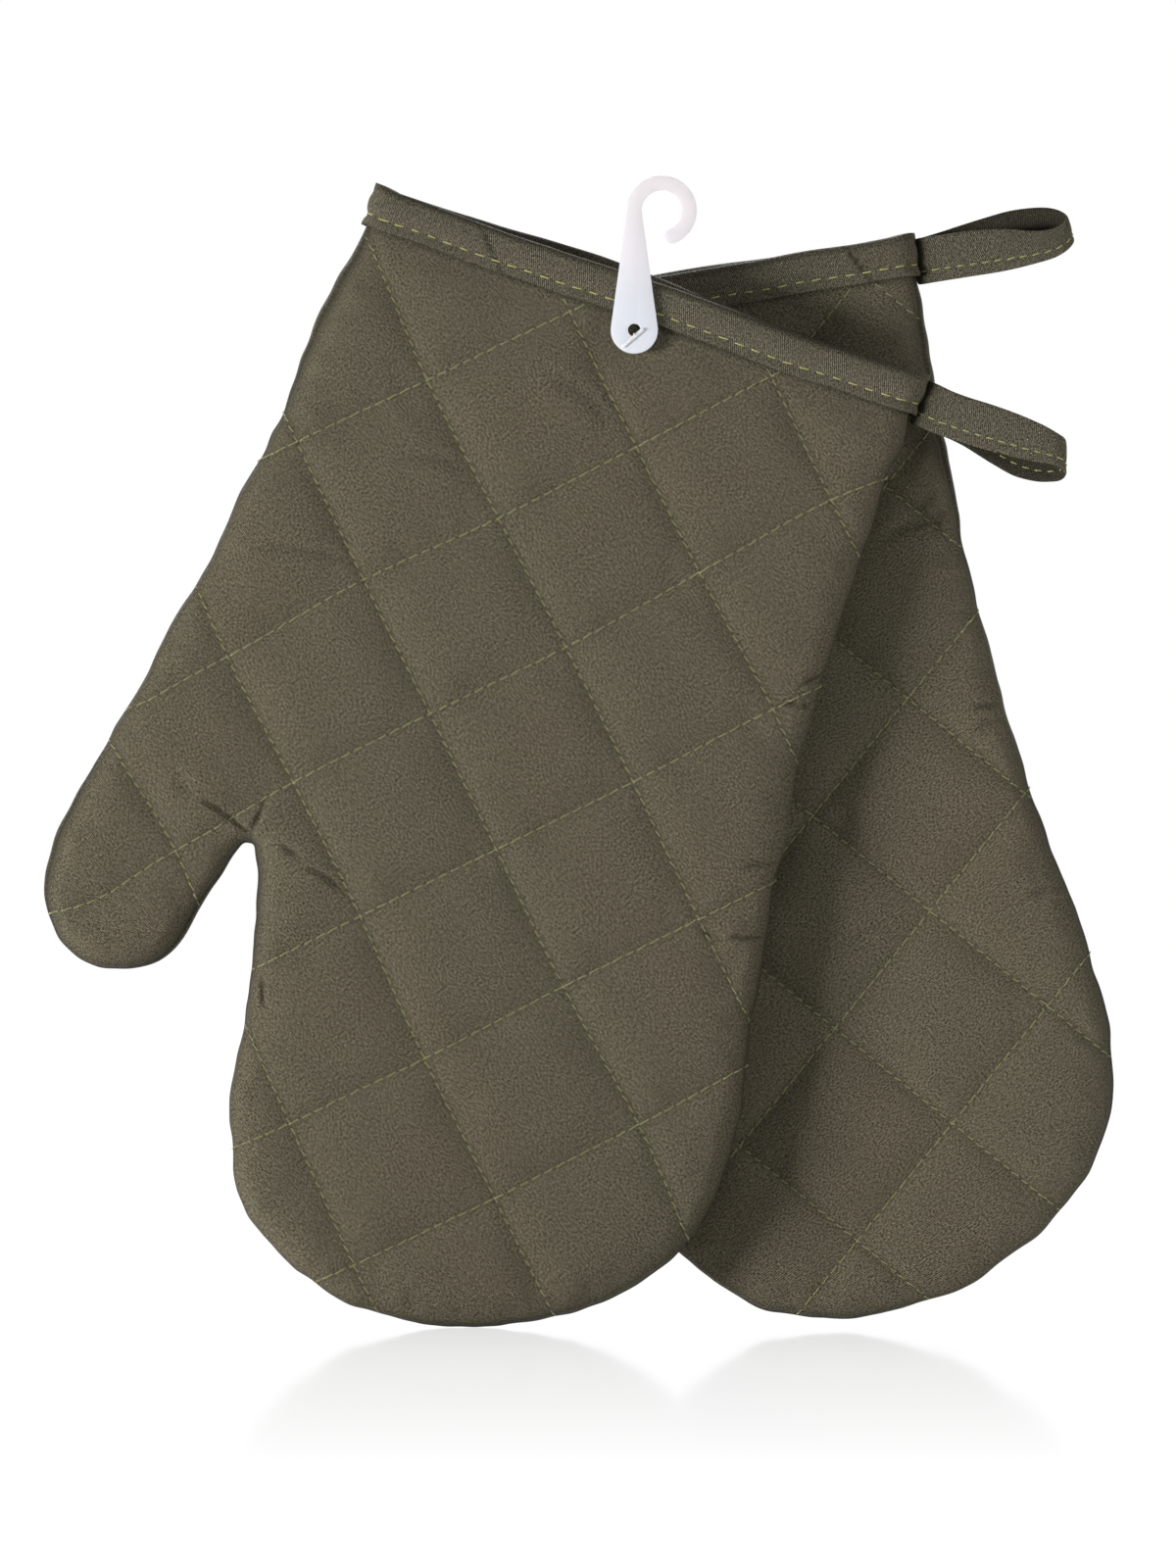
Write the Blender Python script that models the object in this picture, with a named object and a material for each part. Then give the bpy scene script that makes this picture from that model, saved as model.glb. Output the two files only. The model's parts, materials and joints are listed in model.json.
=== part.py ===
"""Pair of quilted oven mitts hanging from one plastic display hook.

Both mitts are cut from the same pattern. They hang fanned out on a fine tag pin that runs
through the hook's hole and both cuffs.

Lengths are metres, +Z is up, +X is right and the pair faces -Y. The origin is the top of the
inside of the hook's eye, where a rail carries it.
"""

import math

import bmesh
import bpy
from mathutils import Matrix, Vector
from mathutils.geometry import delaunay_2d_cdt

# Clearances
touch_gap = 0.0003
turn_gap = 0.0004
mitt_gap = 0.0008

# Mitt pattern, the same for both mitts
mitt_length = 0.293
mitt_width = 0.204
cuff_width = 0.162
cuff_edge_above_pin = 0.0156
outline_step = 0.0110

# Pattern from the thumb side of the cuff round to its other side: share of mitt_width across
# from the cuff's middle, and share of mitt_length down from the cuff's edge
outline_shares = (
    (-0.403, 0.111),
    (-0.420, 0.272),
    (-0.457, 0.435),
    (-0.483, 0.559),
    (-0.513, 0.664),
    (-0.508, 0.722),
    (-0.473, 0.763),
    (-0.422, 0.778),
    (-0.368, 0.773),
    (-0.328, 0.755),
    (-0.308, 0.717),
    (-0.294, 0.671),
    (-0.280, 0.635),
    (-0.268, 0.623),
    (-0.252, 0.633),
    (-0.235, 0.659),
    (-0.208, 0.727),
    (-0.190, 0.801),
    (-0.169, 0.874),
    (-0.127, 0.937),
    (-0.073, 0.968),
    (0.015, 0.995),
    (0.113, 1.000),
    (0.230, 0.984),
    (0.350, 0.943),
    (0.422, 0.898),
    (0.468, 0.845),
    (0.484, 0.784),
    (0.474, 0.685),
    (0.448, 0.606),
    (0.417, 0.473),
    (0.397, 0.347),
    (0.389, 0.238),
    (0.387, 0.118),
)

# Wall of a mitt, from the outside in
outer_cloth = 0.0005
wadding_pressed = 0.0015
puff_height = 0.0024
lining_cloth = 0.0004
cavity_depth = 0.0080
edge_round = 0.0080
seam_band = 0.0040

# Quilting: squares of stitching that lie on their corners
quilt_cell = 0.0417
pillow_share = 0.29
cuff_fade = 0.0100
snap_distance = 0.0025

# Tape that binds the cuff
tape_thickness = 0.0008
binding_width = 0.0116
mouth_round = 0.0050
mouth_gap = 0.00045
binding_end_degrees = (0, 20, 40, 60, 77)

# Hanging loop of folded tape
loop_length = 0.0435
loop_width = 0.0122
loop_tape = 0.0012
loop_root_radius = 0.0015
root_gap = 0.0004
loop_opening = 0.0060
loop_slack = 0.0040
loop_drop_share = 0.06
loop_root_share = 0.12

# Places along each leg of the loop, and the share of the slack that lifts the tape there, from
# the front leg round the bend and along the back leg
leg_shares = (0.15, 0.35, 0.55, 0.80)
front_leg_lift_shares = (0.00, 0.00, 0.02, 0.12)
bend_lift_shares = (0.25, 0.35, 0.45, 0.55, 0.65, 0.75, 0.85)
back_leg_lift_shares = (0.97, 0.94, 0.71, 0.33)

# Display hook
hook_thickness = 0.0010
hook_stroke = 0.0040
eye_radius = 0.0056
eye_above_hole = 0.0329
eye_end_angle = math.radians(-68)
plate_radius = 0.0065
hole_radius = 0.00175

# Tag pin
shank_radius = 0.0003
bar_radius = 0.0005
bar_length = 0.0094
bar_angle = math.radians(42)
paddle_length = 0.0075
paddle_width = 0.0030

# Pose of the pair: how far each mitt is turned clockwise, seen from the front
front_turn = math.radians(19.1)
rear_turn = math.radians(-9.0)

# Quilting of each mitt: one crossing, measured from the pin across and down the mitt, and how
# far the squares are turned
front_crossing = (0.0113, 0.0295)
front_quilt_turn = 0.0
rear_crossing = (0.0289, 0.1397)
rear_quilt_turn = math.radians(-3.0)

# Worked out from the sizes above
same_point = touch_gap / 100
shell_half = (cavity_depth / 2 + lining_cloth + touch_gap + wadding_pressed + touch_gap
              + outer_cloth)
binding_half = shell_half + touch_gap + tape_thickness
crest_half = max(shell_half + puff_height, binding_half)
panel_half_width = cuff_width / 2 - tape_thickness - touch_gap
panel_top = cuff_edge_above_pin - tape_thickness - touch_gap
binding_low = cuff_edge_above_pin - binding_width
band_low = binding_low - 2 * touch_gap
seam_half = touch_gap / 2
pin_drop = hole_radius - shank_radius - touch_gap
hole_centre = Vector((-eye_radius - hook_stroke / 2, 0, -eye_above_hole - eye_radius))
pin_axis = hole_centre - Vector((0, 0, pin_drop))
front_depth = hook_thickness / 2 + turn_gap + binding_half
rear_depth = front_depth + 2 * crest_half + mitt_gap
loop_hinge = cuff_width / 2 + touch_gap + loop_root_radius
pin_hole_radius = shank_radius + turn_gap


def clear_scene():
    for old in list(bpy.data.objects):
        bpy.data.objects.remove(old, do_unlink=True)


def make_material(name, colour, roughness, metallic=0.0):
    material = bpy.data.materials.new(name)
    material.use_nodes = True
    surface = material.node_tree.nodes["Principled BSDF"]
    surface.inputs["Base Color"].default_value = colour
    surface.inputs["Roughness"].default_value = roughness
    surface.inputs["Metallic"].default_value = metallic
    material.diffuse_color = colour
    return material


def add_object(name, form, material, parent=None):
    """Turn a closed bmesh into a named object with its faces pointing out."""
    bmesh.ops.recalc_face_normals(form, faces=form.faces)
    mesh = bpy.data.meshes.new(name)
    form.to_mesh(mesh)
    form.free()
    mesh.materials.append(material)
    mesh.shade_smooth()
    mesh.set_sharp_from_angle(angle=math.radians(40))
    thing = bpy.data.objects.new(name, mesh)
    thing.parent = parent
    bpy.context.scene.collection.objects.link(thing)
    return thing


def add_pivot(name, place, turn=0.0, parent=None):
    """An empty on a joint's axis, turned about +Y."""
    pivot = bpy.data.objects.new(name, None)
    pivot.location = place
    pivot.rotation_euler = (0, turn, 0)
    pivot.parent = parent
    bpy.context.scene.collection.objects.link(pivot)
    return pivot


# Plane geometry: points are (across, up)

def polar(centre, radius, angle):
    return centre + radius * Vector((math.cos(angle), math.sin(angle)))


def arc(centre, radius, start, end, steps):
    return [polar(centre, radius, start + (end - start) * k / steps) for k in range(steps + 1)]


def chain_edges(indices):
    return list(zip(indices, indices[1:]))


def smooth_path(points, step):
    """A Catmull-Rom curve through the points, with a point about every step."""
    path = [points[0]]
    row = points[:1] + points + points[-1:]
    for before, start, end, after in zip(row, row[1:], row[2:], row[3:]):
        count = max(1, round((end - start).length / step))
        for i in range(1, count + 1):
            u = i / count
            path.append(0.5 * (2 * start + (end - before) * u
                               + (2 * before - 5 * start + 4 * end - after) * u ** 2
                               + (3 * start - before - 3 * end + after) * u ** 3))
    return path


def inset_path(path, distance):
    """The path moved to its left, which is into the mitt."""
    moved = []
    row = path[:1] + path + path[-1:]
    for before, point, after in zip(row, row[1:], row[2:]):
        run = (after - before).normalized()
        moved.append(point + distance * Vector((-run.y, run.x)))
    return moved


def with_ends(path, ends):
    """The path with each end that lies on one of its stretches added there."""
    refined = path[:1]
    for a, b in zip(path, path[1:]):
        run = (b - a).normalized()
        on_it = [end for end in ends
                 if abs(run.cross(end - a)) < same_point and 0 < (end - a).dot(run) < (b - a).length]
        for stop in sorted(on_it, key=lambda end: (end - a).length) + [b]:
            if (stop - refined[-1]).length > same_point:
                refined.append(stop)
    return refined


def distance_to_path(point, path):
    nearest = math.inf
    for a, b in zip(path, path[1:]):
        run = b - a
        share = min(1, max(0, (point - a).dot(run) / run.length_squared))
        nearest = min(nearest, (point - a - share * run).length)
    return nearest


def is_inside(point, loop):
    inside = False
    for a, b in zip(loop, loop[1:] + loop[:1]):
        if (a.y > point.y) != (b.y > point.y):
            if point.x < a.x + (b.x - a.x) * (point.y - a.y) / (b.y - a.y):
                inside = not inside
    return inside


def spans_inside(start, run, loop):
    """The stretches of a line that lie inside a loop, as pairs of points."""
    marks = []
    for a, b in zip(loop, loop[1:] + loop[:1]):
        side_a = run.cross(a - start)
        side_b = run.cross(b - start)
        if (side_a > 0) != (side_b > 0):
            crossing = a + (b - a) * side_a / (side_a - side_b)
            marks.append(crossing)
    marks.sort(key=lambda mark: (mark - start).dot(run))
    return list(zip(marks[::2], marks[1::2]))


def face_middle(points, face):
    return sum((points[i] for i in face), Vector((0, 0))) / len(face)


def triangulate(outline, hole, chains, dots):
    """Triangles inside a closed outline and outside a hole, along chains and through dots."""
    points = []
    edges = []
    for chain in [outline + outline[:1], hole + hole[:1], *chains]:
        edges += chain_edges(list(range(len(points), len(points) + len(chain))))
        points += chain
    inside_outline = 1
    made = delaunay_2d_cdt(points + dots, edges, [], inside_outline, same_point)
    corners = [Vector(place) for place in made[0]]
    faces = [tuple(face) for face in made[2]]
    return corners, [face for face in faces if not is_inside(face_middle(corners, face), hole)]


def border(faces):
    """Edges that only one face uses, in that face's direction."""
    used = {}
    for face in faces:
        for a, b in zip(face, face[1:] + face[:1]):
            used[(a, b)] = True
    return [(a, b) for a, b in used if (b, a) not in used]


# Solids between two heights over the same outline

def wall_solid(top, bottom, side):
    """Close the space between two surfaces that share one border.

    Each surface is (points, faces, height function). Heights run along Y, and side is +1 or -1.
    """
    form = bmesh.new()
    layers = []
    for points, faces, height in (top, bottom):
        corner = {}
        for face in faces:
            for i in face:
                if i not in corner:
                    place = (points[i].x, side * height(points[i]), points[i].y)
                    corner[i] = form.verts.new(place)
            form.faces.new([corner[i] for i in face])
        layers.append(corner)
    rim = border(top[1])
    low_rim = {i for edge in border(bottom[1]) for i in edge}
    below = {}
    for i in {i for edge in rim for i in edge}:
        match = min(low_rim, key=lambda j: (bottom[0][j] - top[0][i]).length)
        below[i] = layers[1][match]
    for i, j in rim:
        form.faces.new([layers[0][i], layers[0][j], below[j], below[i]])
    bmesh.ops.triangulate(form, faces=[face for face in form.faces if len(face.verts) > 3])
    return form


def swept_ring(stations):
    """A closed ring of like profiles, each a list of 3-D points."""
    form = bmesh.new()
    rows = [[form.verts.new(place) for place in station] for station in stations]
    for row, following in zip(rows, rows[1:] + rows[:1]):
        for k in range(len(row)):
            j = (k + 1) % len(row)
            form.faces.new([row[k], row[j], following[j], following[k]])
    bmesh.ops.triangulate(form, faces=form.faces)
    return form


# Pattern of a mitt, in its own frame with the pin at the origin

def side_path():
    """The sewn edge, from the cuff's thumb side down and round to its other side."""
    curve = [Vector((-panel_half_width, band_low))]
    for across, down in outline_shares:
        curve.append(Vector((across * mitt_width, cuff_edge_above_pin - down * mitt_length)))
    curve.append(Vector((panel_half_width, band_low)))
    path = smooth_path(curve, outline_step)
    return ([Vector((-panel_half_width, panel_top))] + path
            + [Vector((panel_half_width, panel_top))])


def quilt_axes(turn):
    return [Vector((math.cos(a), math.sin(a)))
            for a in (turn + math.pi / 4, turn + 3 * math.pi / 4)]


def quilt_range(crossing):
    reach = math.ceil((mitt_length + mitt_width + abs(crossing.x) + abs(crossing.y)) / quilt_cell)
    return range(-reach, reach + 1)


def stitch_lines(crossing, turn, region):
    """Quilting lines inside the region, with ends that nearly meet a corner drawn to it."""
    lines = []
    corners = list(region)
    along = quilt_axes(turn)
    for axis, other in (along, along[::-1]):
        for k in quilt_range(crossing):
            for ends in spans_inside(crossing + k * quilt_cell * other, axis, region):
                drawn = []
                for end in ends:
                    corner = min(corners, key=lambda c: (c - end).length)
                    drawn.append(corner if (corner - end).length < snap_distance else end)
                if (drawn[0] - drawn[1]).length > snap_distance:
                    lines.append(drawn)
                    corners += drawn
    return lines


def pillow_points(crossing, turn):
    """The middle of each quilted square and four points round it."""
    first, second = quilt_axes(turn)
    points = []
    for i in quilt_range(crossing):
        for j in quilt_range(crossing):
            middle = crossing + quilt_cell * ((i + 0.5) * first + (j + 0.5) * second)
            for p, q in ((0, 0), (1, 1), (-1, 1), (-1, -1), (1, -1)):
                points.append(middle + quilt_cell * pillow_share * (p * first + q * second))
    return points


def quilt_bump(point, crossing, turn):
    """0 on a quilting line, 1 in the middle of a square."""
    product = 1.0
    for axis in quilt_axes(turn):
        place = (point - crossing).dot(axis) / quilt_cell
        off_line = 2 * abs(place - round(place))
        product *= 1 - (1 - off_line) ** 2
    return math.sqrt(max(0, product))


class Pattern:
    """The layered wall of one mitt as plane triangulations and heights."""

    def __init__(self, crossing, turn):
        self.crossing = Vector((crossing[0], -crossing[1]))
        self.turn = turn
        self.path = side_path()
        inner_path = inset_path(self.path, seam_band)
        self.hole = arc(Vector((0, 0)), pin_hole_radius, 0, 2 * math.pi, 8)[:-1]
        shoulder = panel_half_width - edge_round
        self.shoulders = [Vector((-shoulder, band_low)), Vector((shoulder, band_low))]
        self.top = [Vector((point.x, panel_top)) for point in self.shoulders]
        self.region = inner_path[1:-1] + self.shoulders[::-1]
        self.lines = stitch_lines(self.crossing, turn, self.region)
        self.ring = with_ends(inner_path, [end for line in self.lines for end in line])
        self.quilted = self.quilted_net()
        self.padded = self.padded_net()
        self.plain = self.plain_net()

    def has_room(self, point):
        """Whether a point lies on the level part of the wall, below the cuff."""
        roomy = distance_to_path(point, self.path) > edge_round - touch_gap
        below = point.y < band_low - seam_band
        return roomy and below and is_inside(point, self.region)

    def quilted_net(self):
        """The whole panel, with the quilting's lines."""
        outline = self.path + self.ring[-1:] + self.top[::-1] + self.ring[:1]
        row = self.ring[1:2] + self.shoulders + self.ring[-2:-1]
        dots = [point for point in pillow_points(self.crossing, self.turn)
                if self.has_room(point) and point.length > edge_round / 2]
        return triangulate(outline, self.hole, [self.ring, row, *self.lines], dots)

    def padded_net(self):
        """The part of the panel that has wadding behind it."""
        points, faces = self.quilted
        loop = self.ring + self.top[::-1]
        return points, [face for face in faces if is_inside(face_middle(points, face), loop)]

    def plain_net(self):
        """The padded area again, with few triangles, for what lies under the puffs."""
        level = [point for point in inset_path(self.path, edge_round)[::2]
                 if self.has_room(point)]
        return triangulate(self.ring + self.top[::-1], self.hole, [], self.shoulders + level)

    def edge_factor(self, point):
        """0 on the sewn edge, 1 once the wall has its full depth."""
        depth = min(1, distance_to_path(point, self.path) / edge_round)
        return math.sqrt(1 - (1 - depth) ** 2)

    def base(self, point):
        rise = seam_half + outer_cloth
        return rise + (shell_half - rise) * self.edge_factor(point)

    def puff(self, point):
        fade = min(1, max(0, (band_low - point.y) / cuff_fade))
        return (puff_height * fade * self.edge_factor(point)
                * quilt_bump(point, self.crossing, self.turn))

    def outer_out(self, point):
        return self.base(point) + self.puff(point)

    def outer_in(self, point):
        return self.outer_out(point) - outer_cloth

    def wadding_out(self, point):
        return self.outer_in(point) - touch_gap

    def wadding_in(self, point):
        return self.base(point) - outer_cloth - touch_gap - wadding_pressed

    def lining_out(self, point):
        return self.wadding_in(point) - touch_gap

    def lining_in(self, point):
        return self.lining_out(point) - lining_cloth


def add_wall(prefix, side_name, side, pattern, materials, pivot):
    """The outer panel, wadding and lining of one side of a mitt."""
    quilted, padded, plain = pattern.quilted, pattern.padded, pattern.plain
    add_object(f"{prefix}_{side_name}_panel",
               wall_solid((*quilted, pattern.outer_out), (*quilted, pattern.outer_in), side),
               materials["cloth"], pivot)
    add_object(f"{prefix}_{side_name}_wadding",
               wall_solid((*padded, pattern.wadding_out), (*plain, pattern.wadding_in), side),
               materials["wadding"], pivot)
    add_object(f"{prefix}_{side_name}_lining",
               wall_solid((*plain, pattern.lining_out), (*plain, pattern.lining_in), side),
               materials["lining"], pivot)


def oval(half_straight, end_reach, half_depth, angle):
    """A point on a flat oval: straight sides joined by two elliptic ends."""
    across = math.copysign(half_straight, math.cos(angle))
    return Vector((across + end_reach * math.cos(angle), half_depth * math.sin(angle)))


def add_binding(prefix, materials, pivot):
    """Folded tape over the raw edge of the cuff, all the way round its mouth."""
    straight = panel_half_width - edge_round
    mouth_half = cavity_depth / 2 - mouth_gap
    loops = {
        "out": (edge_round + touch_gap + tape_thickness, shell_half + touch_gap + tape_thickness),
        "out_back": (edge_round + touch_gap, shell_half + touch_gap),
        "in_back": (mouth_round, mouth_half),
        "in": (mouth_round - tape_thickness, mouth_half - tape_thickness),
    }
    cap = cuff_edge_above_pin - tape_thickness
    profile = (("out", binding_low), ("out", cuff_edge_above_pin), ("in", cuff_edge_above_pin),
               ("in", binding_low), ("in_back", binding_low), ("in_back", cap),
               ("out_back", cap), ("out_back", binding_low))
    quarter = binding_end_degrees
    angles = list(quarter) + [180 - a for a in quarter[::-1]]
    angles += [180 + a for a in quarter[1:]] + [360 - a for a in quarter[:0:-1]]
    stations = []
    for degrees in angles:
        station = []
        for loop, height in profile:
            reach, depth = loops[loop]
            spot = oval(straight, reach, depth, math.radians(degrees))
            station.append((spot.x, spot.y, height))
        stations.append(station)
    add_object(f"{prefix}_cuff_binding", swept_ring(stations), materials["tape"], pivot)


def loop_stations(slack):
    """Stations round the loop: outer point, inner point and lift of the tape."""
    full = loop_opening / 2 + loop_tape
    end_centre = loop_length - loop_root_radius - touch_gap - full
    start_inner = loop_length * loop_root_share
    outer = []
    inner = []
    lifts = []

    def add(out, into, lift):
        outer.append(out)
        inner.append(into)
        lifts.append(lift * slack)

    def root(angle, apart):
        add(polar(Vector((0, 0)), loop_root_radius, angle), Vector((start_inner, apart)), 0)

    def leg(share, way, lift):
        depth = loop_root_radius + (full - loop_root_radius) * math.sin(math.pi / 2 * share)
        start = start_inner * (1 - share)
        add(Vector((end_centre * share, way * depth)),
            Vector((start + end_centre * share, way * max(touch_gap, depth - loop_tape))), lift)

    root(math.pi, 0)
    root(math.radians(225), -root_gap / 2)
    for share, lift in zip(leg_shares, front_leg_lift_shares):
        leg(share, -1, lift)
    for k, lift in enumerate(bend_lift_shares):
        angle = math.pi * (k / (len(bend_lift_shares) - 1) - 1 / 2)
        spot = Vector((end_centre, 0))
        add(polar(spot, full, angle), polar(spot, full - loop_tape, angle), lift)
    for share, lift in zip(leg_shares[::-1], back_leg_lift_shares):
        leg(share, 1, lift)
    root(math.radians(135), root_gap / 2)
    return outer, inner, lifts


def add_loop(prefix, slack, materials, pivot):
    """The hanging loop, in its own frame with its fold line at the origin."""
    low = cuff_edge_above_pin - loop_drop_share * loop_width - loop_width
    stations = []
    for out, into, lift in zip(*loop_stations(slack)):
        bottom = low + lift
        top = bottom + loop_width
        stations.append([(out.x, out.y, bottom), (out.x, out.y, top),
                         (into.x, into.y, top), (into.x, into.y, bottom)])
    add_object(f"{prefix}_hanging_loop", swept_ring(stations), materials["tape"], pivot)


def add_mitt(prefix, place, turn, crossing, quilt_turn, slack, materials):
    pivot = add_pivot(f"{prefix}_pivot", place, turn)
    pattern = Pattern(crossing, quilt_turn)
    for side_name, side in (("face", -1), ("back", 1)):
        add_wall(prefix, side_name, side, pattern, materials, pivot)
    add_binding(prefix, materials, pivot)
    fold = add_pivot(f"{prefix}_loop_fold", (loop_hinge, 0, 0), 0, pivot)
    add_loop(prefix, slack, materials, fold)


def tangent_angle(corner, radius, way):
    """Angle of the point where a line from the corner touches a circle at the origin."""
    lean = math.acos(radius / corner.length)
    return math.atan2(corner.y, corner.x) + way * lean


def hook_outline():
    """The hook's edge, measured from its hole."""
    eye = Vector((eye_radius + hook_stroke / 2, eye_above_hole))
    neck_left = polar(eye, eye_radius + hook_stroke, math.pi)
    neck_right = polar(eye, eye_radius, math.pi)
    plate = arc(Vector((0, 0)), plate_radius, tangent_angle(neck_left, plate_radius, 1),
                2 * math.pi + tangent_angle(neck_right, plate_radius, -1), 18)
    inner = arc(eye, eye_radius, math.pi, eye_end_angle, 20)
    tip = polar(eye, eye_radius + hook_stroke / 2, eye_end_angle)
    end = arc(tip, hook_stroke / 2, eye_end_angle + math.pi, eye_end_angle + 2 * math.pi, 6)
    outer = arc(eye, eye_radius + hook_stroke, eye_end_angle, math.pi, 20)
    return plate + inner[:-1] + end + outer[1:]


def add_hook(materials):
    hole = arc(Vector((0, 0)), hole_radius, 0, 2 * math.pi, 20)[:-1]
    points, faces = triangulate(hook_outline(), hole, [], [])
    front = (points, faces, lambda point: hook_thickness / 2)
    back = (points, faces, lambda point: -hook_thickness / 2)
    hook = add_object("display_hook", wall_solid(front, back, -1), materials["hook"])
    hook.location = hole_centre


def rod(radius, length, direction, middle, sides):
    form = bmesh.new()
    turn = direction.to_track_quat("Z", "Y").to_matrix().to_4x4()
    bmesh.ops.create_cone(form, cap_ends=True, segments=sides, radius1=radius, radius2=radius,
                          depth=length, matrix=Matrix.Translation(middle) @ turn)
    return form


def join(piece, other):
    """Add another closed object to a piece and leave the other out of the model."""
    union = piece.modifiers.new("join", "BOOLEAN")
    union.operation = "UNION"
    union.object = other
    other.hide_render = True
    other.display_type = "WIRE"


def add_pin(materials):
    """Shank along Y, with a bar on the hook's front and a flat end behind the rear mitt."""
    front = -hook_thickness / 2 - touch_gap - bar_radius
    back = rear_depth + binding_half + turn_gap + bar_radius
    pivot = add_pivot("tag_pin_pivot", pin_axis)
    shank = rod(shank_radius, back - front, Vector((0, 1, 0)),
                Vector((0, (front + back) / 2, 0)), 10)
    pin = add_object("tag_pin", shank, materials["nylon"], pivot)
    lean = Vector((math.cos(bar_angle), 0, math.sin(bar_angle)))
    bar = rod(bar_radius, bar_length, lean, Vector((0, front, 0)), 10)
    join(pin, add_object("bar_form", bar, materials["nylon"], pivot))
    paddle = bmesh.new()
    bmesh.ops.create_cube(paddle, size=1.0)
    bmesh.ops.scale(paddle, vec=(paddle_length, 2 * bar_radius, paddle_width), verts=paddle.verts)
    bmesh.ops.rotate(paddle, matrix=Matrix.Rotation(-bar_angle, 3, "Y"), verts=paddle.verts)
    bmesh.ops.translate(paddle, vec=(0, back, 0), verts=paddle.verts)
    join(pin, add_object("paddle_form", paddle, materials["nylon"], pivot))


def build():
    clear_scene()
    materials = {
        "cloth": make_material("olive quilted satin", (0.087, 0.078, 0.052, 1), 0.6),
        "tape": make_material("olive binding tape", (0.080, 0.072, 0.052, 1), 0.62),
        "wadding": make_material("cotton wadding", (0.78, 0.75, 0.68, 1), 0.95),
        "lining": make_material("dark lining", (0.060, 0.055, 0.040, 1), 0.8),
        "hook": make_material("milky plastic", (0.86, 0.86, 0.88, 1), 0.35),
        "nylon": make_material("clear nylon", (0.90, 0.90, 0.90, 1), 0.2),
    }
    add_hook(materials)
    add_pin(materials)
    front = pin_axis + Vector((0, front_depth, 0))
    rear = pin_axis + Vector((0, rear_depth, 0))
    add_mitt("front_mitt", front, front_turn, front_crossing, front_quilt_turn, -loop_slack,
             materials)
    add_mitt("rear_mitt", rear, rear_turn, rear_crossing, rear_quilt_turn, loop_slack, materials)


build()
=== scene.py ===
"""Looks of the pair of quilted oven mitts that hang from one display hook.

Lengths are metres in the model's frame: +Z is up, the pair faces -Y, and the origin is the top of
the inside of the hook's eye. A mitt's own plane has the tag pin at its origin, with across to the
right and up towards the cuff. Depth is measured out from the middle plane between its two walls.
"""

import json
import math

import bmesh
import bpy
import numpy as np
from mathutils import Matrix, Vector
from mathutils.bvhtree import BVHTree
from mathutils.geometry import delaunay_2d_cdt


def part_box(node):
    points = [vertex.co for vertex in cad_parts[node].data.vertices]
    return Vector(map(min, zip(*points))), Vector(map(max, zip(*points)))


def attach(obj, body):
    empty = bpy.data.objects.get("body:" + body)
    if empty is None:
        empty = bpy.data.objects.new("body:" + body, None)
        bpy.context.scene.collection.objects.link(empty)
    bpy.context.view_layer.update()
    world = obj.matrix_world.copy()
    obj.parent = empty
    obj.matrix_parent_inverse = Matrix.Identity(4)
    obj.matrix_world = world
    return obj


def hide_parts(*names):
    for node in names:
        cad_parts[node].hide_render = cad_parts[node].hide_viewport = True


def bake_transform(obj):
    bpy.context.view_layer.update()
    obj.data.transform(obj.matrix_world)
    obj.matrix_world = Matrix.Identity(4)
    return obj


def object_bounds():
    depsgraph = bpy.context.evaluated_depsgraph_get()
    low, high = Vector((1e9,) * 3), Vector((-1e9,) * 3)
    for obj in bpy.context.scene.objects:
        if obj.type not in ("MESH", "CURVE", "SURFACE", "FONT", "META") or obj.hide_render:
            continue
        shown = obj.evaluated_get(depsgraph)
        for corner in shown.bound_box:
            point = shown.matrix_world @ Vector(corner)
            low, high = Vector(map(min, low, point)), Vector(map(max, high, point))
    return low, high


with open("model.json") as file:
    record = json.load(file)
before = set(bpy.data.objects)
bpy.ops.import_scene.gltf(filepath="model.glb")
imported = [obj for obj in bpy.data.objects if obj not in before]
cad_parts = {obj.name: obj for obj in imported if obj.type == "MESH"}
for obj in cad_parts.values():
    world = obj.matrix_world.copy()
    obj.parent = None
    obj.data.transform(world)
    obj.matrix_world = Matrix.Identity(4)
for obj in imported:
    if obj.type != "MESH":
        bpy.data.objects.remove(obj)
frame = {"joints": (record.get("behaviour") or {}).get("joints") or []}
cad_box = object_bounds()

# Clearances
touch_gap = 0.0003
same_point = 0.000003

# Mitt pattern, the same for both mitts
mitt_length = 0.293
mitt_width = 0.204
cuff_width = 0.162
cuff_edge_above_pin = 0.0156

# Pattern from the thumb side of the cuff round to its other side: share of mitt_width across
# from the cuff's middle, and share of mitt_length down from the cuff's edge
outline_shares = (
    (-0.403, 0.111), (-0.420, 0.272), (-0.457, 0.435), (-0.483, 0.559), (-0.513, 0.664),
    (-0.508, 0.722), (-0.473, 0.763), (-0.422, 0.778), (-0.368, 0.773), (-0.328, 0.755),
    (-0.308, 0.717), (-0.294, 0.671), (-0.281, 0.637), (-0.275, 0.624), (-0.261, 0.622),
    (-0.252, 0.632), (-0.235, 0.659), (-0.208, 0.727), (-0.190, 0.801), (-0.169, 0.874),
    (-0.127, 0.937),
    (-0.073, 0.968), (0.015, 0.995), (0.113, 1.000), (0.230, 0.984), (0.350, 0.943),
    (0.422, 0.898), (0.468, 0.845), (0.484, 0.784), (0.474, 0.685), (0.448, 0.606),
    (0.417, 0.473), (0.397, 0.347), (0.389, 0.238), (0.387, 0.118),
)

# Wall of a mitt, from the outside in
outer_cloth = 0.0005
wadding_pressed = 0.0015
puff_height = 0.0024
lining_cloth = 0.0004
cavity_depth = 0.0080
edge_round = 0.0080

# Quilting
quilt_cell = 0.0417
cuff_fade = 0.0100
thread_radius = 0.00017
hem_thread_radius = 0.00021

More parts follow.
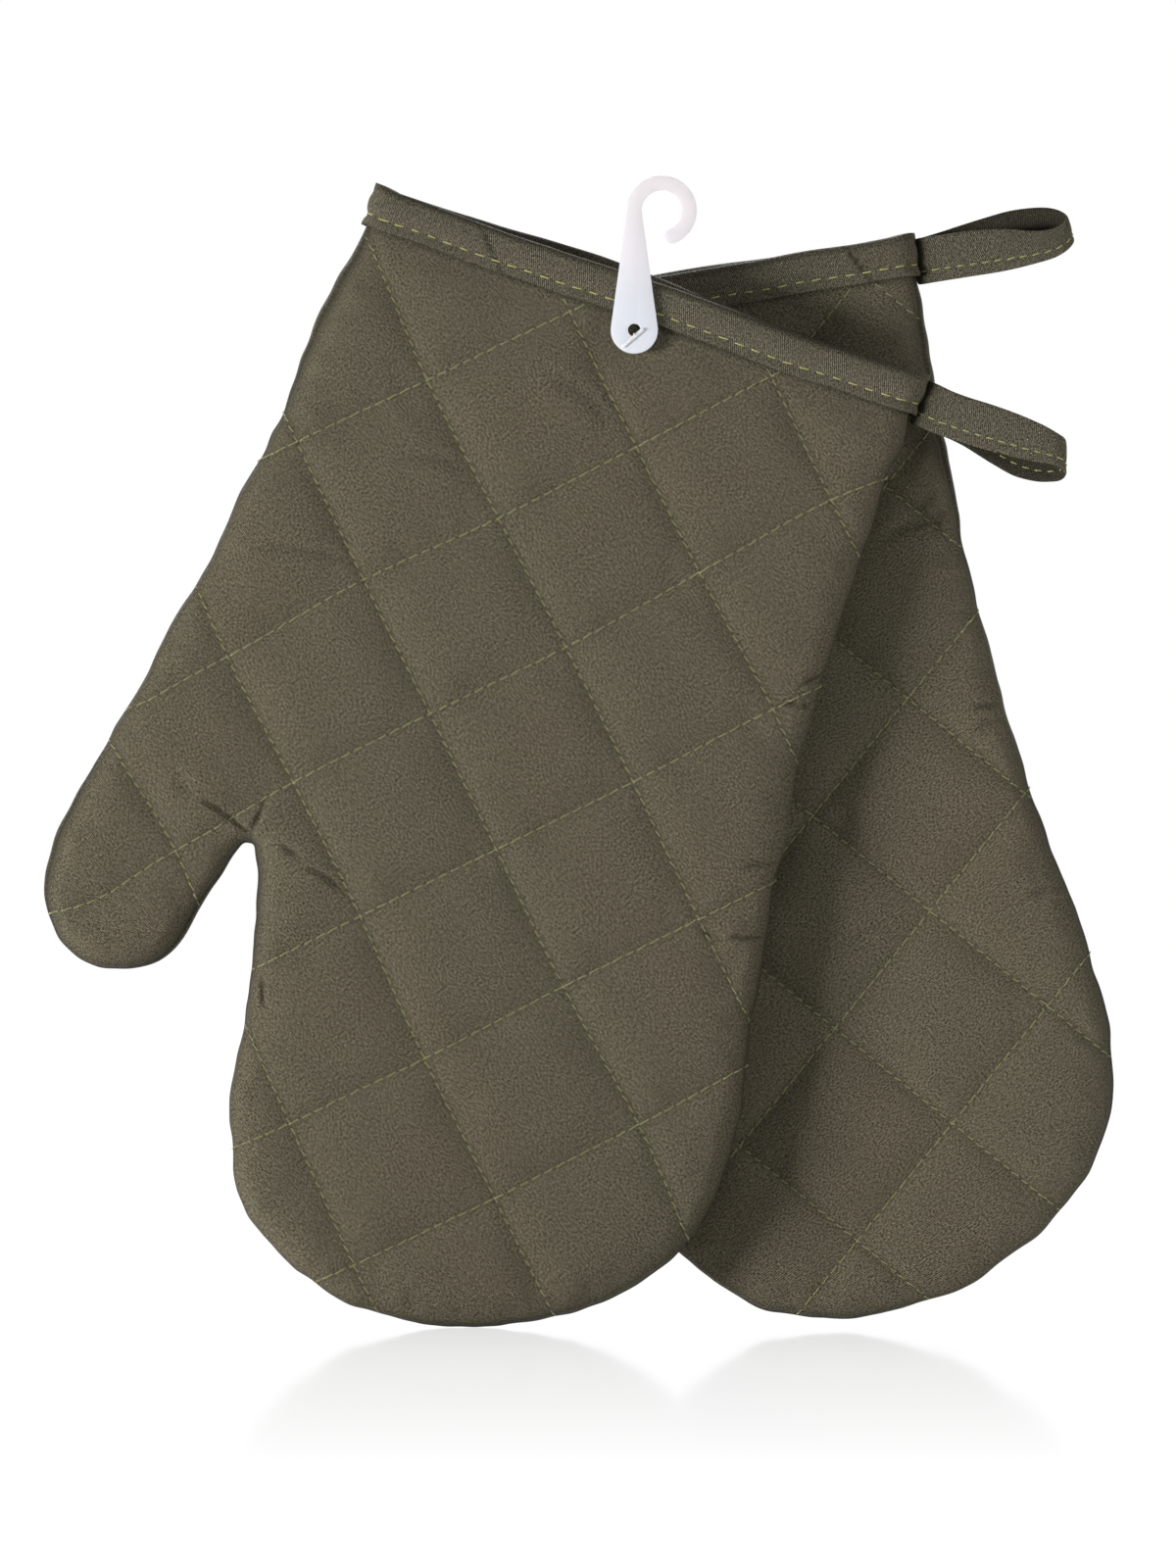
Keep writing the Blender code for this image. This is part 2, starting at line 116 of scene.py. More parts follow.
# Kinds of stitching: pitch, length of a stitch and its slant
rising_stitch = (0.0037, 0.0034, 3)
falling_stitch = (0.0032, 0.0026, 9)
hem_stitch = (0.0047, 0.0034, 2)
loop_stitch = (0.0034, 0.0028, 4)

# Tape that binds the cuff
tape_thickness = 0.0007
binding_width = 0.0116
mouth_round = 0.0050
hem_above_edge = 0.0031

# Hanging loop of folded tape
loop_width = 0.0122
loop_tape = 0.0012
loop_hem_share = 0.27

# Display hook
hook_thickness = 0.0010
hook_stroke = 0.0040
hook_round = 0.00028
eye_radius = 0.0056
eye_above_hole = 0.0329
eye_end_angle = math.radians(-68)
plate_radius = 0.0065
hole_radius = 0.00175

# Tag pin
shank_radius = 0.0003
bar_radius = 0.0005
bar_length = 0.0080
bar_flatness = 0.4
bar_angle = math.radians(41)
bar_droop = (-0.0004, -0.0010)
paddle_length = 0.0075
paddle_width = 0.0030

# Worked out from the sizes above
shell_half = (cavity_depth / 2 + lining_cloth + touch_gap + wadding_pressed + touch_gap
              + outer_cloth)
cad_tape = 0.0008
panel_half_width = cuff_width / 2 - cad_tape - touch_gap
panel_top = cuff_edge_above_pin - cad_tape - touch_gap
binding_low = cuff_edge_above_pin - binding_width
band_low = binding_low - 2 * touch_gap
hole_centre = Vector((-eye_radius - hook_stroke / 2, 0, -eye_above_hole - eye_radius))
joints = {joint["name"]: joint for joint in frame["joints"]}


# Camera, level and square to the pair

photo_width = 1200
photo_height = 1600
photo_scale = 0.00027
hole_pixel = (647.2, 337)
camera_distance = 9.0
sharp_depth = 0.004
sensor = 36

centre_x = hole_centre.x + (photo_width / 2 - hole_pixel[0]) * photo_scale
centre_z = hole_centre.z - (photo_height / 2 - hole_pixel[1]) * photo_scale
camera_data = bpy.data.cameras.new("camera")
camera_data.sensor_width = sensor
camera_data.lens = sensor * (camera_distance + sharp_depth) / (photo_height * photo_scale)
camera = bpy.data.objects.new("camera", camera_data)
camera.location = (centre_x, -camera_distance, centre_z)
camera.rotation_euler = (math.pi / 2, 0, 0)
bpy.context.scene.collection.objects.link(camera)
bpy.context.scene.camera = camera


# Curves and distances on arrays of points

def smooth_curve(points, step):
    """A Catmull-Rom curve through a row of points, with a point about every step."""
    points = np.asarray(points, float)
    row = np.vstack([points[:1], points, points[-1:]])
    curve = [points[:1]]
    for before, start, end, after in zip(row, row[1:], row[2:], row[3:]):
        count = max(1, round(np.linalg.norm(end - start) / step))
        u = (np.arange(1, count + 1) / count)[:, None]
        curve.append(0.5 * (2 * start + (end - before) * u
                            + (2 * before - 5 * start + 4 * end - after) * u ** 2
                            + (3 * start - before - 3 * end + after) * u ** 3))
    return np.vstack(curve)


def lengths_along(points):
    """Distance travelled at each point of a row."""
    return np.concatenate([[0], np.cumsum(np.linalg.norm(np.diff(points, axis=0), axis=1))])


def evenly(points, step, closer=None):
    """The same row of points at even steps, or closer together where that function is above 1."""
    along = lengths_along(points)
    if closer:
        middles = (points[1:] + points[:-1]) / 2
        along = np.concatenate([[0], np.cumsum(np.diff(along) * closer(middles))])
    count = max(2, round(along[-1] / step) + 1)
    places = np.linspace(0, along[-1], count)
    return np.stack([np.interp(places, along, axis) for axis in points.T], axis=1)


def runs(points):
    """Unit direction of travel at each point of a row."""
    step = np.gradient(points, axis=0)
    return step / np.linalg.norm(step, axis=1)[:, None]


def left_of(points):
    """Unit vectors to the left of the travel, in the plane."""
    run = runs(points)
    return np.stack([-run[:, 1], run[:, 0]], axis=1)


def distance_to_row(points, row):
    """Distance from each point to a row of points joined by straight lines."""
    nearest = np.full(len(points), np.inf)
    for a, b in zip(row, row[1:]):
        run = b - a
        share = np.clip((points - a) @ run / (run @ run), 0, 1)
        nearest = np.minimum(nearest, np.linalg.norm(points - a - share[:, None] * run, axis=1))
    return nearest


def inside_loop(points, loop):
    """Which points lie inside a closed loop."""
    inside = np.zeros(len(points), bool)
    for a, b in zip(loop, np.roll(loop, -1, axis=0)):
        if a[1] != b[1]:
            spans = (a[1] > points[:, 1]) != (b[1] > points[:, 1])
            inside ^= spans & (points[:, 0] < a[0] + (b[0] - a[0]) * (points[:, 1] - a[1])
                               / (b[1] - a[1]))
    return inside


def bell(distance, width):
    return np.exp(-(distance / width) ** 2)


def near(points, place, reach):
    """1 at a place, fading to 0 past its reach."""
    return bell(np.linalg.norm(points - np.array(place), axis=1), reach)


def ramp(value, low, high):
    """0 below low, 1 above high and smooth between them."""
    share = np.clip((value - low) / (high - low), 0, 1)
    return share * share * (3 - 2 * share)


ripple_stretch = (0.7, 1.5)
ripple_fullness = 1.5


def ripple(points, seed, wavelength, waves=7):
    """A gentle random relief from -1 to 1: a sum of plane waves in fixed random directions."""
    draw = np.random.default_rng(seed)
    relief = np.zeros(len(points))
    for _ in range(waves):
        way = draw.uniform(0, 2 * math.pi)
        stretch = wavelength * draw.uniform(*ripple_stretch)
        phase = draw.uniform(0, 2 * math.pi)
        along = points[:, 0] * math.cos(way) + points[:, 1] * math.sin(way)
        relief += np.sin(2 * math.pi * along / stretch + phase)
    return relief / waves ** 0.5 / ripple_fullness


# Meshes

def add_to_scene(name, data):
    thing = bpy.data.objects.new(name, data)
    bpy.context.scene.collection.objects.link(thing)
    return thing


def new_object(name, points, faces, edges=()):
    mesh = bpy.data.meshes.new(name)
    mesh.from_pydata([tuple(map(float, point)) for point in points], list(edges), faces)
    return add_to_scene(name, mesh)


def points_of(mesh):
    places = np.empty(len(mesh.vertices) * 3, np.float32)
    mesh.vertices.foreach_get("co", places)
    return places.reshape(-1, 3).astype(float)


def move_points(mesh, points):
    mesh.vertices.foreach_set("co", np.asarray(points, np.float32).ravel())
    mesh.update()


def set_vectors(mesh, name, values):
    """Keep two or three numbers at each vertex, for materials and node trees to read."""
    rows = np.zeros((len(mesh.vertices), 3), np.float32)
    rows[:, :np.shape(values)[1]] = values
    mesh.attributes.new(name, "FLOAT_VECTOR", "POINT").data.foreach_set("vector", rows.ravel())


def get_vectors(mesh, name):
    values = np.empty(len(mesh.vertices) * 3, np.float32)
    mesh.attributes[name].data.foreach_get("vector", values)
    return values.reshape(-1, 3).astype(float)


def set_values(mesh, name, values):
    values = np.asarray(values, np.float32)
    mesh.attributes.new(name, "FLOAT", "POINT").data.foreach_set("value", values)


def band_faces(rows, count):
    """Four-sided faces between rings of as many points."""
    return [(r * count + k, r * count + (k + 1) % count, (r + 1) * count + (k + 1) % count,
             (r + 1) * count + k) for r in range(rows - 1) for k in range(count)]


def tube_faces(rings, sides):
    """The faces of a tube of rings, with both ends closed."""
    last = (rings - 1) * sides
    return (band_faces(rings, sides) + [tuple(range(sides))[::-1]]
            + [tuple(range(last, last + sides))])


def bmesh_outward(thing):
    """Point the faces of a closed form outwards."""
    form = bmesh.new()
    form.from_mesh(thing.data)
    bmesh.ops.recalc_face_normals(form, faces=form.faces)
    form.to_mesh(thing.data)
    form.free()
    return thing


def bake_modifiers(thing):
    """Turn an object's modifiers into its plain mesh."""
    bpy.context.view_layer.update()
    graph = bpy.context.evaluated_depsgraph_get()
    old = thing.data
    thing.data = bpy.data.meshes.new_from_object(thing.evaluated_get(graph))
    thing.modifiers.clear()
    bpy.data.meshes.remove(old)
    return thing


def subdivide(thing):
    smoother = thing.modifiers.new("subdivide", "SUBSURF")
    smoother.levels = 1
    smoother.render_levels = 1
    return bake_modifiers(thing)


def thicken(thing, thickness):
    """Give a sheet its thickness, on the side away from its faces."""
    wall = thing.modifiers.new("thickness", "SOLIDIFY")
    wall.thickness = thickness
    wall.offset = -1
    wall.use_even_offset = False
    return bake_modifiers(thing)


def dress(thing, name, material):
    """Smooth a finished piece, name it and give it its material."""
    thing.name = name
    thing.data.name = name
    thing.data.shade_smooth()
    thing.data.materials.clear()
    thing.data.materials.append(materials[material])


def finish_piece(thing, name, body, material, slot, *nodes):
    """Dress a piece and make it ride on its body."""
    dress(thing, name, material)
    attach(thing, body)
    if nodes:
        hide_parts(*nodes)


# Mitts

edge_step = 0.0022
edge_rows = (0.0005, 0.0014, 0.0027, 0.0044, 0.0063)
grid_per_cell = 19
edge_pull = 0.0007
pull_reach = 0.0045
pull_rest = 0.35
edge_wave = 0.0005
# Ripples of the edge: what divides edge_wave, random draw and wavelength
edge_ripples = ((1, 0, 0.034), (2, 1, 0.013), (3, 6, 0.0075))
# Degrees by which the side seam is rolled towards the front
roll_middle = 4
roll_spread = 9
roll_wave = 0.075
roll_limits = (-22, 34)
seam_tuck = 0.0007
seam_room = 0.0016
crotch = (-0.0545, -0.1670)
crotch_reach = 0.0080
crotch_detail = 1.3


class Mitt:
    """One mitt's pattern, quilting and place in the frame."""

    def __init__(self, name, turn, crossing, quilt_turn, drifts, seam_rolls, growth, swells,
                 seed):
        self.name = name
        self.turn = math.radians(turn)
        self.crossing = np.array(crossing)
        self.axes = [np.array((math.cos(a), math.sin(a)))
                     for a in (math.radians(quilt_turn) + math.pi / 4,
                               math.radians(quilt_turn) + 3 * math.pi / 4)]
        self.drifts = drifts
        self.seam_rolls = seam_rolls
        self.growth = growth
        self.swells = swells
        self.seed = seed
        self.pivot = np.array(joints[name + "_swing"]["pos_m"])
        self.outline = self.cut_outline()

    def drift(self, points):
        """How far the quilting has wandered from its even squares at these places."""
        shift = np.zeros((len(points), 2))
        for place, offset, reach in self.drifts:
            shift += near(points, place, reach)[:, None] * np.array(offset)
        return shift

    def plane_of(self, squares):
        """Places in the mitt's plane from places counted in quilted squares."""
        even = (self.crossing + quilt_cell * (squares[:, :1] * self.axes[0]
                                              + squares[:, 1:] * self.axes[1]))
        return even + self.drift(even)

    def squares_of(self, points):
        """Places counted in quilted squares from places in the mitt's plane."""
        even = points
        for _ in range(4):
            even = points - self.drift(even)
        return np.stack([(even - self.crossing) @ axis / quilt_cell for axis in self.axes], 1)

    def off_lines(self, points):
        """Distance to the nearest rising line of quilting and to the nearest falling one."""
        squares = self.squares_of(points)
        return np.abs(squares - np.round(squares))[:, ::-1] * quilt_cell

    def cut_outline(self):
        """The sewn edge, drawn in a little where each quilting line meets it."""
        shares = np.array(outline_shares)
        curve = np.stack([shares[:, 0] * mitt_width,
                          cuff_edge_above_pin - shares[:, 1] * mitt_length], axis=1)
        curve = np.vstack([[(-panel_half_width, band_low)], curve,
                           [(panel_half_width, band_low)]])
        curve = smooth_curve(curve, edge_step)
        curve = evenly(np.vstack([[(-panel_half_width, panel_top)], curve,
                                  [(panel_half_width, panel_top)]]), edge_step,
                       lambda places: 1 + crotch_detail * near(places, crotch, crotch_reach))
        below_cuff = ramp(band_low - curve[:, 1], 0, cuff_fade)
        inward = edge_pull * (bell(self.off_lines(curve).min(axis=1), pull_reach) - pull_rest)
        for divisor, draw, wavelength in edge_ripples:
            inward += edge_wave / divisor * ripple(curve, self.seed + draw, wavelength)
        inward -= self.growth + sum(out * near(curve, place, reach)
                                    for place, out, reach in self.swells)
        return curve + (below_cuff * inward)[:, None] * left_of(curve)

    def to_world(self, points, side):
        """Points given as across, up and depth, put in the model's frame."""
        across, up, depth = points.T
        c, s = math.cos(self.turn), math.sin(self.turn)
        return np.stack([self.pivot[0] + across * c + up * s,
                         self.pivot[1] + side * depth,
                         self.pivot[2] - across * s + up * c], axis=1)

    def way_to_world(self, ways, side):
        """Directions given as across, up and depth, turned into the model's frame."""
        return self.to_world(ways, side) - self.pivot

    def grid(self, per_cell, clearance):
        """Points on the quilting lines and between them, clear of the edge."""
        reach = math.ceil(2 * mitt_length / quilt_cell)
        ticks = np.arange(-reach * per_cell, reach * per_cell + 1) / per_cell
        p, q = np.meshgrid(ticks, ticks)
        squares = np.stack([p.ravel(), q.ravel()], 1)
        points = self.plane_of(squares)
        low, high = self.outline.min(axis=0), self.outline.max(axis=0)
        points = points[((points > low) & (points < high)).all(axis=1)]
        points = points[inside_loop(points, self.outline)]
        clear = distance_to_row(points, self.outline) > clearance
        return points[clear & (points[:, 1] < panel_top - edge_step / 2)]

    def roll(self, points):
        """Angle by which the side seam is rolled towards the front, near these places."""
        angle = roll_middle + roll_spread * ripple(points, self.seed + 3, roll_wave)
        for place, degrees, reach in self.seam_rolls:
            angle += degrees * near(points, place, reach)
        return np.radians(np.clip(angle, *roll_limits))

    def net(self, grid, rows):
        """Points and faces over the whole panel. The first points are the edge."""
        inward = left_of(self.outline)
        top = np.linspace(self.outline[-1], self.outline[0],
                          round(2 * panel_half_width / edge_step))[1:-1]
        loop = np.vstack([self.outline, top])
        inner = [self.outline[1:-1] + row * inward[1:-1] for row in rows]
        points = np.vstack([loop, *inner, grid])
        edges = [(i, (i + 1) % len(loop)) for i in range(len(loop))]
        made = delaunay_2d_cdt([Vector(point) for point in points], edges, [], 1, same_point)
        return np.array([tuple(point) for point in made[0]]), [tuple(face) for face in made[2]]


# Where the quilting wandered: place, offset and reach
front_drifts = (
    ((0.067, -0.026), (-0.0032, 0.0030), 0.030),
    ((-0.048, -0.030), (-0.0014, -0.0018), 0.030),
    ((0.040, -0.058), (-0.0012, 0.0012), 0.030),
    ((-0.018, -0.060), (0.0004, -0.0018), 0.030),
    ((0.070, -0.088), (0.0006, 0.0022), 0.030),
    ((-0.077, -0.120), (0.0010, -0.0036), 0.030),
    ((-0.077, -0.177), (0.0048, 0.0006), 0.030),
    ((0.072, -0.206), (0.0028, 0.0004), 0.030),
    ((0.011, -0.207), (0.0000, -0.0018), 0.030),
    ((0.042, -0.238), (0.0012, -0.0020), 0.030),
    ((0.011, -0.268), (0.0002, -0.0028), 0.030),
    ((-0.092, -0.198), (0.0036, -0.0036), 0.016),
    ((-0.094, -0.143), (0.0024, -0.0024), 0.016),
    ((0.000, -0.010), (0.0006, -0.0010), 0.030),
    ((-0.018, -0.237), (0.0004, -0.0010), 0.020),
    ((-0.047, -0.148), (-0.0008, -0.0003), 0.025),
)

# Where the sewn edge stands out of the pattern: place, how far and reach
front_swells = (
    ((-0.0857, -0.0641), 0.0004, 0.020), ((-0.0932, -0.1119), -0.0005, 0.015),
    ((-0.0985, -0.1482), 0.0012, 0.012), ((-0.0640, -0.1950), -0.0005, 0.012),
    ((-0.0424, -0.1974), 0.0008, 0.012), ((-0.0345, -0.2405), 0.0007, 0.010),
    ((-0.0149, -0.2680), -0.0002, 0.010), ((0.0200, -0.2772), 0.0004, 0.018),
)
rear_swells = (
    ((-0.0259, -0.2589), -0.0036, 0.012), ((-0.0149, -0.2680), -0.0023, 0.010),
    ((0.0031, -0.2759), -0.0016, 0.012), ((0.0469, -0.2727), 0.0009, 0.012),
    ((0.0714, -0.2607), 0.0012, 0.012), ((0.0861, -0.2475), 0.0005, 0.010),
    ((0.0987, -0.2141), 0.0006, 0.015), ((0.0810, -0.0861), 0.0005, 0.015),
    ((0.0231, -0.2774), -0.0008, 0.010), ((0.0967, -0.1851), -0.0004, 0.012),
)
front_seam_rolls = (
    ((-0.080, -0.010), 26, 0.040), ((-0.100, -0.190), 14, 0.030), ((-0.069, -0.199), 24, 0.022),
    ((-0.020, -0.270), -16, 0.040), ((0.090, -0.100), -4, 0.070),
)
rear_seam_rolls = (((0.080, -0.030), 30, 0.045), ((0.100, -0.190), 12, 0.050))
front = Mitt("front_mitt", turn=19.1, crossing=(0.0105, -0.0285), quilt_turn=0.0,
             drifts=front_drifts, seam_rolls=front_seam_rolls, growth=0.0009,
             swells=front_swells, seed=11)
rear = Mitt("rear_mitt", turn=-9.0, crossing=(0.0279, -0.1387), quilt_turn=-3.0, drifts=(),
            seam_rolls=rear_seam_rolls, growth=0.0014, swells=rear_swells, seed=47)


# Outer cloth: relief of a wall before and after its wadding blows it out

edge_reach = 0.0098
undulation = 0.0007
undulation_wave = 0.085
puff_fullness = 0.75
puff_start = 0.45
puff_limit = (-0.35, 0.90)
deepest_dip = 0.0006
pin_pull = 0.0010
pin_reach = 0.0240
pin_flat = 0.008
crest_limit = puff_height + 0.0001


def edge_factor(distance):
    """0 on the sewn edge, 1 once the wall has its full depth."""
    depth = np.clip(distance / edge_reach, 0, 1)
    return np.sqrt(1 - (1 - depth) ** 3)


def wall_base(mitt, points, distance):
    """Depth of the quilting lines below the puffs."""
    sink = undulation * (0.5 + 0.5 * ripple(points, mitt.seed + 2, undulation_wave))
    sink += pin_pull * bell(np.linalg.norm(points, axis=1), pin_reach / 2)
    return same_point + (shell_half - sink) * edge_factor(distance)


def puff_share(mitt, points, distance):
    """0 on a quilting line, 1 in the middle of a square, less near the cuff, edge and pin."""
    squares = mitt.squares_of(points)
    off_line = 2 * np.abs(squares - np.round(squares))
    bump = np.prod(1 - (1 - off_line) ** 2, axis=1).clip(0) ** puff_fullness
    fade = np.clip((band_low - points[:, 1]) / cuff_fade, 0, 1)
    pressed = ramp(np.linalg.norm(points, axis=1), pin_reach / 3, pin_reach)
    return fade * pressed * edge_factor(distance) * bump


thread_edge = 0.0008
simulation_scale = 10
simulation_frames = 18
cloth_settings = {
    "quality": 5, "mass": 0.15, "air_damping": 4, "tension_stiffness": 60,
    "compression_stiffness": 60, "shear_stiffness": 20, "bending_stiffness": 1.2,
    "shrink_min": -0.022, "use_pressure": True, "uniform_pressure_force": 12,
    "vertex_group_mass": "sewn",
}


def blow_out(points, faces, sewn):
    """Cloth simulation of a panel: pressure from the wadding, held along what is sewn.

    It runs at ten times the real size, where the solver works best.
    """
    thing = new_object("cloth_run", points * simulation_scale, faces)
    group = thing.vertex_groups.new(name="sewn")
    group.add([int(i) for i in np.flatnonzero(sewn)], 1, "REPLACE")
    cloth = thing.modifiers.new("cloth", "CLOTH")
    for name, value in cloth_settings.items():
        setattr(cloth.settings, name, value)
    cloth.settings.effector_weights.gravity = 0
    cloth.collision_settings.use_collision = False
    cloth.collision_settings.use_self_collision = False
    cloth.point_cache.frame_start = 1
    cloth.point_cache.frame_end = simulation_frames
    scene = bpy.context.scene
    for step in range(1, simulation_frames + 1):
        scene.frame_set(step)
    graph = bpy.context.evaluated_depsgraph_get()
    moved = points_of(thing.evaluated_get(graph).data) / simulation_scale
    mesh = thing.data
    bpy.data.objects.remove(thing)
    bpy.data.meshes.remove(mesh)
    scene.frame_set(1)
    return moved


def quads_from(points, faces):
    """Join pairs of triangles, so that the cloth is mostly squares."""
    form = bmesh.new()
    corners = [form.verts.new((*point, 0)) for point in points]
    for face in faces:
        form.faces.new([corners[i] for i in face])
    bmesh.ops.join_triangles(form, faces=form.faces, angle_face_threshold=math.pi,
                             angle_shape_threshold=math.radians(50))
    form.verts.index_update()
    joined = [tuple(corner.index for corner in face.verts) for face in form.faces]
    form.free()
    return joined


# Folds pressed into the cloth
# Painted shade along each fold: how strong it is, and its width as a share of the fold's width
crease_darkness = 1.4
crease_shade_width = 0.6
crease_lip = (0.45, 2.4)
crease_ends = (-0.2, 0.25, 0.75, 1.2)
sharp_crease = 0.0009
deepest_crease = 0.0016
crease_step = 0.0008
crease_offsets = (-1.2, -0.4, 0.4, 1.2)
crease_room = 0.00045


def crease_mark(points, start, end, bend):
    """How far from a fold's line each place is, and 1 along the fold, 0 past its ends."""
    start, end = np.array(start), np.array(end)
    run = end - start
    across = np.array((-run[1], run[0]))
    share = (points - start) @ run / (run @ run)
    off = ((points - start) @ across / np.linalg.norm(across)
           - bend * (1 - (2 * share - 1) ** 2))
    return off, ramp(share, *crease_ends[:2]) * (1 - ramp(share, *crease_ends[2:]))


def crease(points, start, end, depth, width, bend):
    """A fold pressed into the cloth between two places, with a raised lip on each side."""
    off, along = crease_mark(points, start, end, bend)
    height, spread = crease_lip
    return depth * along * (height * bell(off, spread * width) - bell(off, width))


def crease_shade(points, start, end, depth, width, bend):
    """How much painted shade a fold puts on the cloth."""
    off, along = crease_mark(points, start, end, bend)
    sharpness = sharp_crease / width * depth / deepest_crease
    return crease_darkness * sharpness * along * bell(off, crease_shade_width * width)


def add_crease_rows(mitt, grid, creases):
    """The grid with closer rows of points along each fold."""
    rows = [np.zeros((0, 2))]
    for start, end, _, width, bend in creases:
        start, run = np.array(start), np.array(end) - np.array(start)
        length = np.linalg.norm(run)
        across = np.array((-run[1], run[0])) / length
        share = np.linspace(0, 1, round(length / crease_step) + 1)[:, None]
        line = start + share * run + bend * (1 - (2 * share - 1) ** 2) * across
        rows += [line + off * width * across for off in crease_offsets]
    extra = np.vstack(rows)
    extra = extra[inside_loop(extra, mitt.outline)]
    extra = extra[distance_to_row(extra, mitt.outline) > edge_rows[1]]
    chosen = list(grid)
    for point in extra:
        if np.linalg.norm(np.array(chosen) - point, axis=1).min() > crease_room:
            chosen.append(point)
    return np.array(chosen)


# Folds: start, end, depth, width and bend
front_creases = (
    ((-0.0706, -0.1601), (-0.0636, -0.1614), 0.0015, 0.0010, 0.0004),
    ((-0.0636, -0.1614), (-0.0551, -0.1650), 0.0016, 0.0010, 0.0000),
    ((-0.0540, -0.1544), (-0.0551, -0.1650), 0.0013, 0.0010, 0.0004),
    ((-0.0795, -0.1568), (-0.0735, -0.1590), 0.0011, 0.0026, 0.0000),
    ((-0.0458, -0.1647), (-0.0404, -0.1660), 0.0018, 0.0013, 0.0000),
    ((-0.0372, -0.1683), (-0.0269, -0.1705), 0.0013, 0.0012, 0.0006),
    ((-0.0392, -0.2010), (-0.0364, -0.2081), 0.0015, 0.0011, 0.0000),
    ((0.0752, -0.0760), (0.0802, -0.0708), 0.0018, 0.0009, 0.0000),
    ((0.0727, -0.0826), (0.0795, -0.0810), 0.0015, 0.0011, 0.0004),
    ((0.0762, -0.1291), (0.0846, -0.1247), 0.0014, 0.0011, 0.0000),
    ((0.0794, -0.1482), (0.0889, -0.1452), 0.0016, 0.0009, 0.0000),
    ((0.0700, -0.1490), (0.0780, -0.1500), 0.0009, 0.0010, 0.0003),
    ((0.0815, -0.1040), (0.0850, -0.1060), 0.0012, 0.0012, 0.0000),
    ((0.0765, -0.0560), (0.0815, -0.0500), 0.0009, 0.0013, 0.0004),
    ((-0.0783, -0.0891), (-0.0530, -0.0844), 0.0010, 0.0021, 0.0010),
    ((-0.0485, -0.0528), (-0.0341, -0.0498), 0.0010, 0.0022, 0.0008),
    ((-0.0201, -0.0178), (0.0005, -0.0244), 0.0008, 0.0026, 0.0010),
)
rear_creases = (
    ((0.0600, -0.0660), (0.0780, -0.0620), 0.0010, 0.0020, 0.0008),
    ((0.0768, -0.1160), (0.0844, -0.1164), 0.0015, 0.0013, 0.0000),
    ((0.0780, -0.1220), (0.0900, -0.1180), 0.0011, 0.0015, 0.0000),
    ((0.0820, -0.1700), (0.0960, -0.1680), 0.0009, 0.0016, 0.0000),
    ((0.0300, -0.1760), (0.0460, -0.1700), 0.0008, 0.0024, 0.0010),
)


# Fine relief of the cloth. A pair that ends in place is how far off the line, and how wide.
seam_groove = (0.00020, 0.00026)
groove_width = 0.0011
stitch_pull = 0.00010
stitch_pull_place = (0.0016, 0.0014)
seam_pucker = (0.00013, 0.00019)
seam_pucker_wave = 0.009
seam_pucker_place = (0.004, 0.0045)
edge_pucker = 0.00038
edge_pucker_wave = 0.011
edge_pucker_place = (0.006, 0.005)
small_relief = 0.00018
small_relief_wave = 0.021


def fine_relief(mitt, points, distance, creases):
    """Sunk seams, the pull of each stitch, small wrinkles and the larger creases."""
    along = mitt.squares_of(points) * quilt_cell
    off = mitt.off_lines(points)
    below_cuff = ramp(band_low - points[:, 1], 0, cuff_fade / 2)
    relief = np.zeros(len(points))
    for axis, stitch in enumerate((rising_stitch, falling_stitch)):
        relief -= seam_groove[axis] * bell(off[:, axis], groove_width)
        tug = np.cos(2 * math.pi * along[:, axis] / stitch[0])
        place, width = stitch_pull_place
        relief += stitch_pull * tug * bell(off[:, axis] - place, width)
        pucker = ripple(np.stack([along[:, axis], off[:, axis] / 3], 1), mitt.seed + 5 + axis,
                        seam_pucker_wave)
        place, width = seam_pucker_place
        relief += seam_pucker[axis] * pucker * bell(off[:, axis] - place, width)
    pucker = ripple(points, mitt.seed + 9, edge_pucker_wave)
    place, width = edge_pucker_place
    relief += edge_pucker * pucker * bell(distance - place, width)
    relief += small_relief * ripple(points, mitt.seed + 10, small_relief_wave)
    for place in creases:
        relief += crease(points, *place)
    return relief * below_cuff * edge_factor(distance)


# Painted shade where shade falls along the seams: rising and falling lines and their width, the
# sewn edge, the cuff
seam_shade = (0.45, 0.75)
seam_shade_width = 0.0009
border_shade = 1.6
edge_shade_width = 0.0016
cuff_shade_width = 0.0008


def cloth_shade(mitt, points, distance, creases):
    """Painted shade: how much darker the cloth is painted in its seams and folds, and where it
    meets its neighbours.
    """
    off = mitt.off_lines(points)
    shade = np.max(np.array(seam_shade) * bell(off, seam_shade_width), axis=1)
    for place in creases:
        shade = np.maximum(shade, crease_shade(points, *place))
    shade *= ramp(band_low - points[:, 1], 0, cuff_fade / 3)
    border = np.maximum(bell(distance, edge_shade_width),
                        bell(points[:, 1] - binding_low, cuff_shade_width))
    return np.maximum(shade, border_shade * border)


def cloth_coordinates(points, distance, inward):
    """Places on the flat cloth: the rounded edge is rolled out beyond the pattern's plane."""
    table = np.linspace(0, edge_reach, 60)
    profile = np.stack([table, shell_half * edge_factor(table)], 1)
    rolled = lengths_along(profile)
    extra = (rolled[-1] - np.interp(distance, table, rolled)) - (edge_reach - distance).clip(0)
    return points - extra[:, None] * inward


